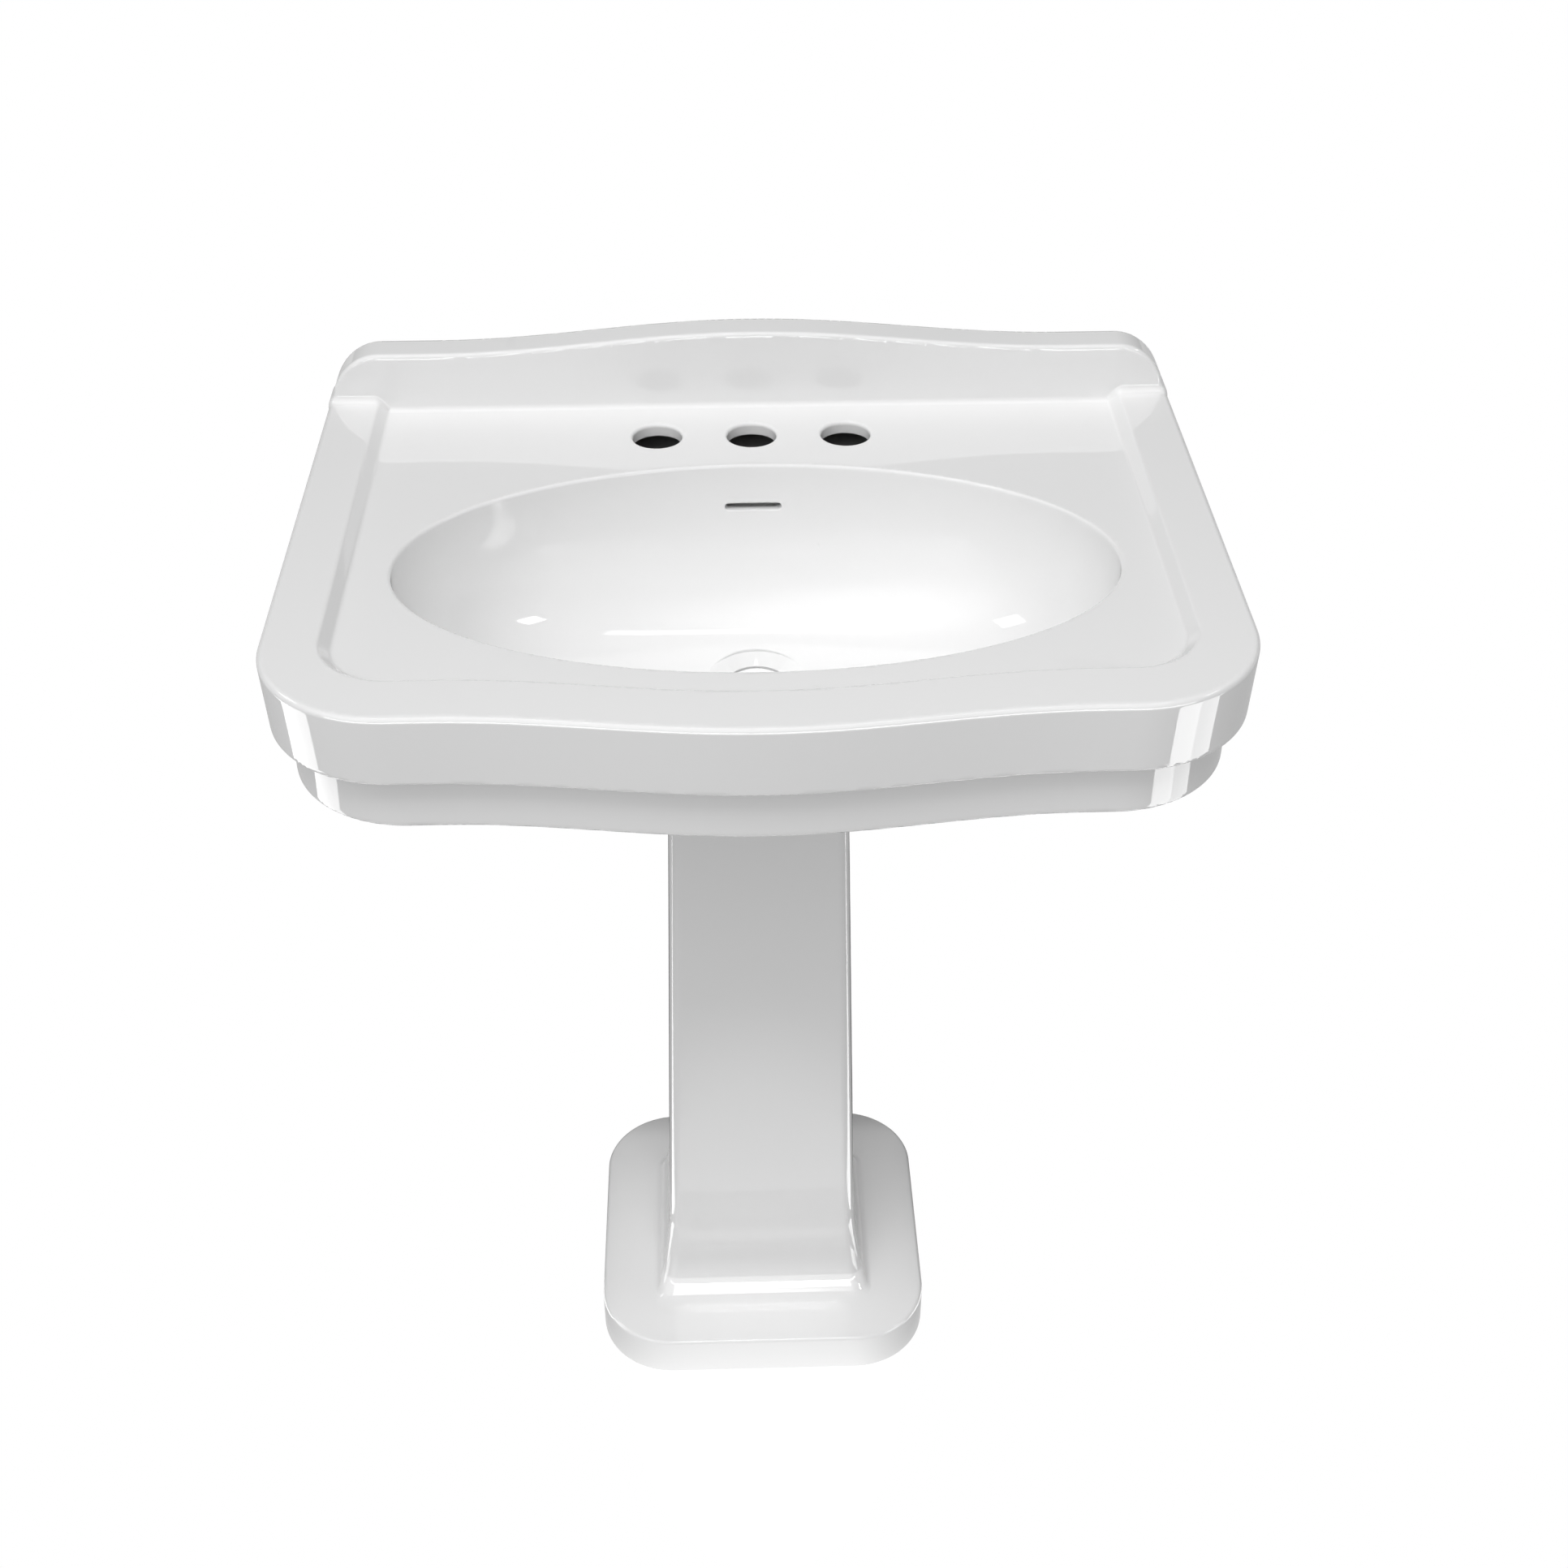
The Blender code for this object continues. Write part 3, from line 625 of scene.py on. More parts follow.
@dataclass
class Basin(SubAssembly):
    """The basin casting: serpentine tiers, recessed deck, oval bowl, raised back.

    Every height is measured up from the rim, and every drop down from it.
    """

    bow_fade: Pair = (-0.12, 0.14)
    upper_drop: float = 0.049
    lower_drop: float = 0.088
    draft: float = 0.0018
    lower_inset: float = 0.0127
    front_corner: float = 0.084
    lower_corner: float = 0.078
    tier_overlap: float = 0.020
    rim_round: float = 0.004
    upper_foot_round: float = 0.0022
    lower_foot_round: float = 0.003
    tier_fillet: float = 0.0025
    hollow_back_round: float = 0.006
    hollow_roof_round: float = 0.005
    hollow_edge_round: float = 0.003

    deck_drop: float = 0.007
    deck_thickness: float = 0.010
    deck_half_width: float = 0.262
    deck_front_y: float = -0.1585
    deck_corner: float = 0.040
    slope_foot_round: float = 0.0009
    slope_head_round: float = 0.0007

    splash_y: float = 0.1985
    splash_centre: float = 0.050
    splash_side: float = 0.0365
    splash_half_span: float = 0.225
    splash_half_width: float = 0.2952
    splash_corner: float = 0.030
    splash_overlap: float = 0.030
    splash_round: float = 0.0032
    splash_flare: float = 0.0072
    flare_top: float = 0.045
    flare_power: float = 1.5
    cove: float = 0.0035
    end_cove_extra: float = 0.003
    end_cove_run: float = 0.009

    bowl_y: float = -0.0265
    bowl_half_width: float = 0.2358
    bowl_front: float = 0.1251
    bowl_back: float = 0.1342
    bowl_floor_drop: float = 0.130
    bowl_wall: float = 0.010
    bowl_edge_round: float = 0.0022
    bowl_drift_power: float = 1.5
    bowl_plan_power: float = 2.6
    bowl_depth_power: float = 2.2
    bowl_blend_power: float = 2.4

    foot_half_x: float = 0.106
    foot_half_y: float = 0.066
    foot_y: float = 0.020
    foot_top_drop: float = 0.120
    foot_fillet: float = 0.012
    foot_round: float = 0.003
    wall_fillet: float = 0.008

    seat_r: float = 0.0317
    seat_limit_r: float = 0.033
    seat_depth: float = 0.0045
    drain_r: float = 0.0215
    lip: float = 0.002
    relief_r: float = 0.038
    relief_depth: float = 0.0105
    drain_round: float = 0.001

    duct_line: Line = (
        (0.117, -0.030), (0.117, -0.066), (0.1125, -0.090), (0.102, -0.113), (0.085, -0.131),
    )
    duct_r: float = 0.0125
    duct_half_width: float = 0.029
    duct_round: float = 0.006
    duct_fillet: float = 0.005
    passage_line: Line = (
        (0.117, -0.034), (0.117, -0.065), (0.1125, -0.090), (0.102, -0.113), (0.087, -0.1335),
        (0.070, -0.1385), (0.048, -0.140),
    )
    passage_r: float = 0.0038
    passage_half_width: float = 0.021
    passage_round: float = 0.003
    passage_edge_round: float = 0.0006
    passage_top: float = 0.010
    slot_drop: float = 0.0393
    slot_half_width: float = 0.020
    slot_end: float = 0.00275
    slot_r: float = 0.0025
    slot_front_y: float = 0.095
    slot_back_y: float = 0.117
    slot_edge_round: float = 0.0009

    tap_y: float = 0.1531
    tap_spacing: float = 0.067
    tap_hole_r: float = 0.0175
    tap_edge_round: float = 0.0022
    bolt_hole_r: float = 0.0075
    bolt_hole_front_y: float = 0.190
    bolt_edge_round: float = 0.001
    back_round: float = 0.0012
    keep: float = 0.26

    def bent(self, x: Array, y: Array) -> Array:
        """Y with the front's serpentine bow taken out of it."""
        return y + SIZES.bulge * swell(x, SIZES.bulge_half_span) * (1.0 - ease(y, *self.bow_fade))

    def footprint(self, x: Array, bent: Array, inset: Array | float, corner: float) -> Array:
        """Distance from the basin's plan outline, moved inwards by an inset."""
        return round_meet(np.abs(x) - (SIZES.half_width - inset), SIZES.front_y + inset - bent, corner)

    def tiers(self, x: Array, bent: Array, height: Array) -> Array:
        """The two stepped tiers of the apron, as solid blocks."""
        leaning = -self.draft * height / self.upper_drop
        upper = self.footprint(x, bent, leaning, self.front_corner)
        upper = round_meet(upper, height, self.rim_round)
        upper = round_meet(upper, -self.upper_drop - height, self.upper_foot_round)
        lower = self.footprint(x, bent, self.lower_inset, self.lower_corner)
        lower = round_meet(lower, height + self.tier_overlap, 1 * MM)
        lower = round_meet(lower, -self.lower_drop - height, self.lower_foot_round)
        return round_join(upper, lower, self.tier_fillet)

    def hollow(self, x: Array, y: Array, bent: Array, height: Array) -> Array:
        """The open space under the deck, inside the apron and in front of the back web."""
        wall = SIZES.back_web
        inset = wall + self.lower_inset * ease(-height, self.upper_drop - wall, self.upper_drop)
        plan = self.footprint(x, bent, inset, self.front_corner - wall)
        plan = round_meet(plan, y - (SIZES.wall_y - wall), self.hollow_back_round)
        return round_meet(plan, height + self.deck_drop + self.deck_thickness, self.hollow_roof_round)

    def recess(self, x: Array, bent: Array, height: Array) -> Array:
        """The sunk deck with its sloping border."""
        above = height + self.deck_drop
        plan = round_meet(np.abs(x) - self.deck_half_width, self.deck_front_y - bent, self.deck_corner)
        return round_meet((plan - above) * math.sqrt(0.5), -above, self.slope_foot_round)

    def backsplash(self, x: Array, y: Array, height: Array) -> Array:
        """The raised back with its serpentine top and its flared ends."""
        rise = self.splash_side + (self.splash_centre - self.splash_side) * swell(x, self.splash_half_span)
        flare = self.splash_flare * np.clip(1.0 - height / self.flare_top, 0.0, 1.0) ** self.flare_power
        face = round_meet(np.abs(x) - self.splash_half_width - flare, height - rise, self.splash_corner)
        face = round_meet(face, -height - self.splash_overlap, 1 * MM)
        return round_meet(face, self.splash_y - y, self.splash_round)

    def bowl_share(self, x: Array, y: Array, height: Array) -> Array:
        """How far out a point is in the bowl: below zero inside, above zero outside.

        Level outlines of the bowl are ovals whose middle drifts from the bowl's middle at the rim to
        the drain at the floor, so each point's own oval is found by a few Newton steps.
        """
        drift_run = self.bowl_y - SIZES.drain_y
        share = np.hypot(x / self.bowl_half_width, (y - self.bowl_y) / self.bowl_back)
        for _ in range(5):
            share = np.clip(share, 0.02, 4.0)
            near = np.minimum(share, 1.0)
            centre = SIZES.drain_y + drift_run * near**self.bowl_drift_power
            depth = np.where(y > centre, self.bowl_back, self.bowl_front)
            across, along = x / self.bowl_half_width, (y - centre) / depth
            reach = np.maximum(np.hypot(across, along), 1e-6)
            drift = np.where(share < 1.0, self.bowl_drift_power * drift_run * np.sqrt(near), 0.0)
            slope = -along * drift / depth / reach - 1.0
            share = share - (reach - share) / slope
        share = np.clip(share, 0.0, 4.0)
        deep = np.maximum(-height - self.deck_drop, 0.0) / (self.bowl_floor_drop - self.deck_drop)
        total = share**self.bowl_plan_power + deep**self.bowl_depth_power
        return total ** (1 / self.bowl_blend_power) - 1.0

    def bowl(self, x: Array, y: Array, height: Array) -> Array:
        """Distance from the bowl's inner surface, negative inside the bowl."""
        step, least_slope = 0.5 * MM, 3.0
        value = self.bowl_share(x, y, height)
        rises = [
            (self.bowl_share(x + step, y, height) - value) / step,
            (self.bowl_share(x, y + step, height) - value) / step,
            (self.bowl_share(x, y, height + step) - value) / step,
        ]
        return value / np.maximum(np.sqrt(sum(rise * rise for rise in rises)), least_slope)

    def underside(self, x: Array, y: Array, height: Array, bowl: Array) -> Array:
        """The bowl's outer wall with the flat foot that rests on the pedestal."""
        foot = np.hypot(x / self.foot_half_x, (y - self.foot_y) / self.foot_half_y) - 1.0
        level = np.maximum(-height - SIZES.underside_drop, height + self.foot_top_drop)
        wall = round_join(bowl - self.bowl_wall, np.maximum(foot * self.foot_half_y, level), self.foot_fillet)
        wall = round_meet(wall, -height - SIZES.underside_drop, self.foot_round)
        return np.maximum(wall, height + self.deck_drop + 1 * MM)

    def drain(self, x: Array, y: Array, height: Array) -> Array:
        """The drain's conical seat, its hole and the relief below it."""
        radius = np.hypot(x, y - SIZES.drain_y)
        above_seat = height + self.bowl_floor_drop
        above_lip = above_seat + self.seat_depth
        lean = (self.seat_r - self.drain_r) / self.seat_depth
        cone = (radius - self.seat_r - above_seat * lean) / math.hypot(1.0, lean)
        cone = np.maximum(np.maximum(cone, -above_lip), radius - self.seat_limit_r)
        spread = (self.relief_r - self.drain_r) / self.relief_depth
        relief = (radius - self.drain_r + (above_lip + self.lip) * spread) / math.hypot(1.0, spread)
        relief = np.maximum(relief, above_lip)
        return np.minimum(np.minimum(cone, radius - self.drain_r), relief)

    def duct(self, x: Array, y: Array, height: Array) -> tuple[Array, Array]:
        """The overflow duct behind the bowl: its outer shape and its passage."""
        wide = np.abs(x)
        outer = path_field(y, height, self.duct_line, self.duct_r)
        inner = path_field(y, height, self.passage_line, self.passage_r)
        outer = round_meet(outer, wide - self.duct_half_width, self.duct_round)
        return outer, round_meet(inner, wide - self.passage_half_width, self.passage_round)

    def slot(self, x: Array, y: Array, height: Array) -> Array:
        """The overflow slot through the bowl's back wall."""
        mouth = np.maximum(np.abs(x) - (self.slot_half_width - self.slot_end), 0.0)
        mouth = np.hypot(mouth, height + self.slot_drop) - self.slot_r
        return np.maximum(np.maximum(mouth, self.slot_front_y - y), y - self.slot_back_y)

    def pierced(self, body: Array, x: Array, y: Array, height: Array, passage: Array) -> Array:
        """The casting with every hole made in it."""
        body = round_cut(body, self.drain(x, y, height), self.drain_round)
        for column in (-1, 0, 1):
            hole = np.hypot(x - column * self.tap_spacing, y - self.tap_y) - self.tap_hole_r
            body = round_cut(body, hole, self.tap_edge_round)
        body = round_cut(body, passage, self.passage_edge_round)
        body = round_cut(body, self.slot(x, y, height), self.slot_edge_round)
        for side in (-1, 1):
            bolt = np.hypot(x - side * SIZES.wall_fixing_x, height + SIZES.wall_fixing_drop)
            bolt = np.maximum(bolt - self.bolt_hole_r, self.bolt_hole_front_y - y)
            body = round_cut(body, bolt, self.bolt_edge_round)
        return body

    def solid(self, x: Array, y: Array, z: Array) -> Array:
        """The whole casting's field."""
        height = z - SIZES.rim_z
        bent = self.bent(x, y)
        bowl = self.bowl(x, y, height)
        duct, passage = self.duct(x, y, height)
        body = round_cut(self.tiers(x, bent, height), self.hollow(x, y, bent, height), self.hollow_edge_round)
        body = round_join(body, self.underside(x, y, height, bowl), self.wall_fillet)
        body = round_join(body, duct, self.duct_fillet)
        sunk = round_cut(body, self.recess(x, bent, height), self.slope_head_round)
        body = np.where(height > -self.splash_overlap, sunk, body)
        end = ease(np.abs(x), self.deck_half_width, self.deck_half_width + self.end_cove_run)
        body = round_join(body, self.backsplash(x, y, height), self.cove + self.end_cove_extra * end)
        body = round_cut(body, bowl, self.bowl_edge_round)
        body = self.pierced(body, x, y, height, np.where(height < self.passage_top, passage, 1.0))
        return round_meet(body, y - SIZES.wall_y, self.back_round)

    def build(self) -> None:
        """Mesh the casting, finely at its edges, the slot, the drain and the sloping border."""
        rim, coarse, fine, finest = SIZES.rim_z, 2.6 * MM, 1.4 * MM, 1.0 * MM
        across = graded(
            -0.309, 0.309, coarse, (-0.308, -0.258, fine), (-0.036, 0.036, 1.5 * MM), (0.258, 0.308, fine)
        )
        along = graded(
            -0.228, 0.228, coarse, (-0.174, -0.155, 1.6 * MM), (-0.010, 0.061, 1.5 * MM),
            (0.184, 0.206, 1.2 * MM),
        )
        up = graded(
            rim - 0.150, rim + 0.054, coarse, (rim - 0.0105, rim + 0.0015, finest),
            (rim - 0.044, rim - 0.033, 1.2 * MM), (rim - 0.139, rim - 0.126, finest),
        )
        mesher = FieldMesher(self.solid, (across, along, up), self.keep)
        self.add(mesher.mesh("basin_casting"), "basin", Finish.GLAZE)


@dataclass
class Pedestal(SubAssembly):
    """The pedestal casting: rounded plinth, swept foot and tapering hollow column."""

    plinth_half: float = 0.1345
    plinth_front: float = -0.0737
    plinth_back: float = 0.1884
    plinth_height: float = 0.036
    plinth_corner: float = 0.060
    plinth_round: float = 0.0032
    floor_round: float = 0.0015

    taper_start: float = 0.035
    foot_half: float = 0.078
    top_half: float = 0.0625
    foot_front: float = 0.006
    top_front: float = -0.017
    back_y: float = 0.127
    corner: float = 0.0095
    sweep_run: float = 0.052
    sweep_rise: float = 0.062
    sweep_end: float = 0.90
    ramp_rise: float = 0.005
    side_share: float = 0.25
    corner_share: float = 0.1
    foot_fillet: float = 0.003
    top_round: float = 0.002

    wall: float = 0.012
    hollow_floor_round: float = 0.004
    hollow_edge_round: float = 0.002
    shaft_half_x: float = 0.038
    shaft_half_y: float = 0.037
    shaft_y: float = 0.067
    shaft_corner: float = 0.013
    shaft_edge_round: float = 0.0015
    cut_top: float = 0.030
    window_half: float = 0.0485
    window_sill: float = 0.010
    window_front_y: float = 0.103
    window_round: float = 0.0025
    screw_hole_r: float = 0.006
    screw_edge_round: float = 0.0008
    keep: float = 0.55

    def swept(self, z: Array) -> tuple[Array, Array]:
        """How far the foot sweeps out at a height, and its slope there."""
        ramp_z = self.plinth_height + self.ramp_rise
        fall = np.clip(self.sweep_end - (z - ramp_z) / self.sweep_rise, 0.0, self.sweep_end)
        lean = self.sweep_run / self.sweep_rise * fall / np.sqrt(1.0 - fall**2)
        grow = self.sweep_run * (1.0 - np.sqrt(1.0 - fall**2))
        return grow + lean * np.clip(ramp_z - z, 0.0, self.ramp_rise + 1 * MM), lean

    def column(self, x: Array, y: Array, z: Array, inset: float) -> Array:
        """Distance from the column's tapering wall, moved inwards by an inset.

        Only the outer wall, without an inset, has the swept foot.
        """
        foot_z = self.plinth_height + self.taper_start
        share = (z - foot_z) / (SIZES.pedestal_top - foot_z)
        half = self.foot_half + (self.top_half - self.foot_half) * share - inset
        front = self.foot_front + (self.top_front - self.foot_front) * share + inset
        grow, lean = (0.0, 0.0) if inset > 0.0 else self.swept(z)
        corner = np.maximum(self.corner - inset + self.corner_share * grow, 0.5 * MM)
        side = self.side_share * grow
        front, back = front - grow, self.back_y - inset + side
        leaning = np.where(np.abs(x) - half - side > front - y, self.side_share * lean, lean)
        plan = oblong_field(x, y - 0.5 * (front + back), half + side, 0.5 * (back - front), corner)
        return plan / np.sqrt(1.0 + leaning**2)

    def openings(self, body: Array, x: Array, y: Array, z: Array) -> Array:
        """The casting with its shaft, its back window and its screw holes cut out."""
        shaft = oblong_field(x, y - self.shaft_y, self.shaft_half_x, self.shaft_half_y, self.shaft_corner)
        body = round_cut(body, np.maximum(shaft, z - self.cut_top), self.shaft_edge_round)
        low_z = self.plinth_height + self.window_sill + self.window_half
        window = np.hypot(x, np.minimum(z - low_z, 0.0)) - self.window_half
        body = round_cut(body, np.maximum(window, self.window_front_y - y), self.window_round)
        for side in (-1, 1):
            screw = np.hypot(x - side * SIZES.floor_fixing_x, y - SIZES.floor_fixing_y) - self.screw_hole_r
            body = round_cut(body, np.maximum(screw, z - self.cut_top), self.screw_edge_round)
        return body

    def solid(self, x: Array, y: Array, z: Array) -> Array:
        """The whole casting's field."""
        middle = 0.5 * (self.plinth_front + self.plinth_back)
        deep = 0.5 * (self.plinth_back - self.plinth_front)
        plinth = oblong_field(x, y - middle, self.plinth_half, deep, self.plinth_corner)
        plinth = round_meet(plinth, z - self.plinth_height, self.plinth_round)
        body = round_join(plinth, np.maximum(self.column(x, y, z, 0.0), -z), self.foot_fillet)
        body = round_meet(body, z - SIZES.pedestal_top, self.top_round)
        hollow = round_meet(self.column(x, y, z, self.wall), SIZES.flange - z, self.hollow_floor_round)
        body = self.openings(round_cut(body, hollow, self.hollow_edge_round), x, y, z)
        return round_meet(body, -z, self.floor_round)

    def build(self) -> None:
        """Mesh the casting, finely at the plinth and at the top edge."""
        top, coarse, tall = SIZES.pedestal_top, 2.4 * MM, 3.2 * MM
        up = graded(
            -0.003, top + 0.004, tall, (-0.003, 0.031, 1.8 * MM), (0.031, 0.046, 1.0 * MM),
            (top - 0.004, top + 0.004, 1.6 * MM),
        )
        lines = (graded(-0.138, 0.138, coarse), graded(-0.078, 0.192, coarse), up)
        mesher = FieldMesher(self.solid, lines, self.keep)
        self.add(mesher.mesh("pedestal_casting"), "pedestal", Finish.GLAZE)


# ---- fixings ----
def rounded_profile(points: Sequence[Pair], radius: float) -> list[Pair]:
    """A closed turning profile with each corner rounded.

    Args:
        points: Radius and distance along the axis of each corner, in order.
        radius: Size of the rounding.

    Returns:
        The profile with four points at each corner.
    """
    made = []
    count = len(points)
    for i, point in enumerate(points):
        here = Vector(point)
        before = Vector(points[i - 1]) - here
        after = Vector(points[(i + 1) % count]) - here
        reach = min(radius, 0.45 * before.length, 0.45 * after.length)
        start, end = here + before.normalized() * reach, here + after.normalized() * reach
        for share in (0.0, 0.33, 0.67, 1.0):
            bend = start.lerp(here, share).lerp(here.lerp(end, share), share)
            made.append((bend.x, bend.y))
    return made


@dataclass(frozen=True)
class Axis:
    """Where a fixing's axis starts and which way it runs, and how threads and hexagons are cut on it.

    A thread's depth is a share of its pitch, and tip_slope is the fall of its radius at a chamfered end.
    A hexagon's chamfers leave flat_share of its width.
    """

    origin: Vector
    along: Vector
    tip_slope: float = 0.8
    thread_depth: float = 0.55
    flat_share: float = 0.95
    chamfer_degrees: float = 30.0
    bore_soft: float = 0.4 * MM

    def ring(self, radii: Sequence[float], along: float, shift: float = 0.0) -> list[Vector]:
        """Points at equal angles round the axis, each at its own radius, turned by a share of a step."""
        turn = self.along.to_track_quat("Z", "Y").to_matrix()
        made = []
        for i, r in enumerate(radii):
            angle = 2 * math.pi * (i + shift) / len(radii)
            made.append(self.origin + turn @ Vector((r * math.cos(angle), r * math.sin(angle), along)))
        return made

    def turned(
        self, name: str, corners: Sequence[Pair], soft: float, sides: int = 64, bored: bool = True
    ) -> bpy.types.Object:
        """A turned shape with softened edges.

        Args:
            name: The object's name.
            corners: Radius and distance along the axis of each corner of its profile.
            soft: Size of the rounding at the corners.
            sides: Points round each ring.
            bored: False for a shape whose first and last corners meet at the axis.

        Returns:
            The shape.
        """
        profile = rounded_profile(corners, soft)
        profile = profile if bored else profile[2:-2]
        return loft(name, [self.ring([r] * sides, along) for r, along in profile], closed=bored)

    def washer(self, name: str, radii: Pair, ends: Pair, soft: float) -> bpy.types.Object:
        """A flat ring between two radii and two distances along the axis."""
        (inner, outer), (low, high) = radii, ends
        return self.turned(name, [(inner, low), (outer, low), (outer, high), (inner, high)], soft)

    def bush(self, name: str, radii: Triple, ends: Triple, soft: float) -> bpy.types.Object:
        """A shoulder bush: its bore, sleeve and flange radii, and where its sleeve and its flange end."""
        (inner, sleeve, brim), (low, seat, high) = radii, ends
        corners = [(inner, low), (sleeve, low), (sleeve, seat), (brim, seat), (brim, high), (inner, high)]
        return self.turned(name, corners, soft)

    def threaded(self, name: str, radius: float, ends: Pair, pitch: float, tip: float) -> bpy.types.Object:
        """A threaded rod.

        Args:
            name: The object's name.
            radius: Outer radius of the thread.
            ends: Distances of its two ends along the axis.
            pitch: Distance between the thread's turns.
            tip: Length over which each end is chamfered.

        Returns:
            The rod.
        """
        start, end = ends
        sides, steps = 32, int((end - start) / pitch * 6)
        depth = self.thread_depth * pitch
        rings = []
        for level in range(steps + 1):
            along = start + (end - start) * level / steps
            chamfer = max(0.0, tip - min(along - start, end - along)) * self.tip_slope
            phases = [(along / pitch - side / sides) % 1.0 for side in range(sides)]
            radii = [min(radius - depth * abs(2 * phase - 1.0), radius - chamfer) for phase in phases]
            rings.append(self.ring(radii, along))
        return loft(name, rings, closed=False)

    def hexagon(
        self, name: str, across: float, ends: Pair, bore: float = 0.0, flat_base: bool = False
    ) -> bpy.types.Object:
        """A nut, or a screw head where the bore is zero, with chamfered corners.

        Args:
            name: The object's name.
            across: Width across the flats.
            ends: Distances of its two faces along the axis.
            bore: Radius of the bore; zero gives a solid head.
            flat_base: True leaves the corners of the near face sharp.

        Returns:
            The nut or head.
        """
        low, high = ends
        sides, steps, half = 72, 10, 0.5 * across
        inner, chamfer = half * self.flat_share, math.tan(math.radians(self.chamfer_degrees))
        rings = []
        for i in range(steps + 1):
            along = low + (high - low) * (0.5 - 0.5 * math.cos(math.pi * i / steps))
            room = inner + min(high - along, 1.0 if flat_base else along - low) / chamfer
            radii = []
            for side in range(sides):
                angle = 2 * math.pi * (side + 0.5) / sides
                flat = (angle + math.pi / 6) % (math.pi / 3) - math.pi / 6
                radii.append(min(half / math.cos(flat), room))
            rings.append(self.ring(radii, along, 0.5))
        if bore > 0.0:
            wide, soft = bore + self.bore_soft, self.bore_soft
            for r, along in ((wide, high), (bore, high - soft), (bore, low + soft), (wide, low)):
                rings.append(self.ring([r] * sides, along, 0.5))
        return loft(name, rings, closed=bore > 0.0)


@dataclass
class WallFixing(SubAssembly):
    """Hanger bolt, nylon bush, washer and nut at one hole of the basin's back web."""

    side: str = "left"
    sign: int = -1
    bolt_r: float = 5 * MM
    bolt_length: float = 44 * MM
    bolt_pitch: float = 1.5 * MM
    bolt_tip: float = 1 * MM
    sleeve_r: float = 7.5 * MM
    bush_r: float = 12.5 * MM
    bush_flange: float = 3 * MM
    bush_soft: float = 0.5 * MM
    washer_r: float = 12 * MM
    washer_thickness: float = 2 * MM
    washer_soft: float = 0.35 * MM
    nut_across: float = 17 * MM
    nut_height: float = 8 * MM

    def build(self) -> None:
        """Make the four pieces."""
        side, gap, inner = self.side, SIZES.gap, self.bolt_r + SIZES.gap
        origin = Vector((self.sign * SIZES.wall_fixing_x, SIZES.wall_y, SIZES.rim_z - SIZES.wall_fixing_drop))
        axis = Axis(origin, Vector((0, -1, 0)))
        ends = (0.0, self.bolt_length)
        bolt = axis.threaded(f"wall_bolt_{side}", self.bolt_r, ends, self.bolt_pitch, self.bolt_tip)
        self.add(bolt, f"hanger_bolt_{side}", Finish.ZINC)
        web = SIZES.back_web + gap
        flange = web + self.bush_flange
        radii = (inner, self.sleeve_r - gap, self.bush_r)
        bush = axis.bush(f"wall_bush_{side}", radii, (gap, web, flange), self.bush_soft)
        self.add(bush, f"nylon_bush_{side}", Finish.NYLON)
        start = flange + gap
        ends = (start, start + self.washer_thickness)
        washer = axis.washer(f"wall_washer_{side}", (inner, self.washer_r), ends, self.washer_soft)
        self.add(washer, f"steel_washer_{side}", Finish.ZINC)
        start += self.washer_thickness + gap
        nut = axis.hexagon(f"wall_nut_{side}", self.nut_across, (start, start + self.nut_height), inner)
        self.add(nut, f"hex_nut_{side}", Finish.ZINC)


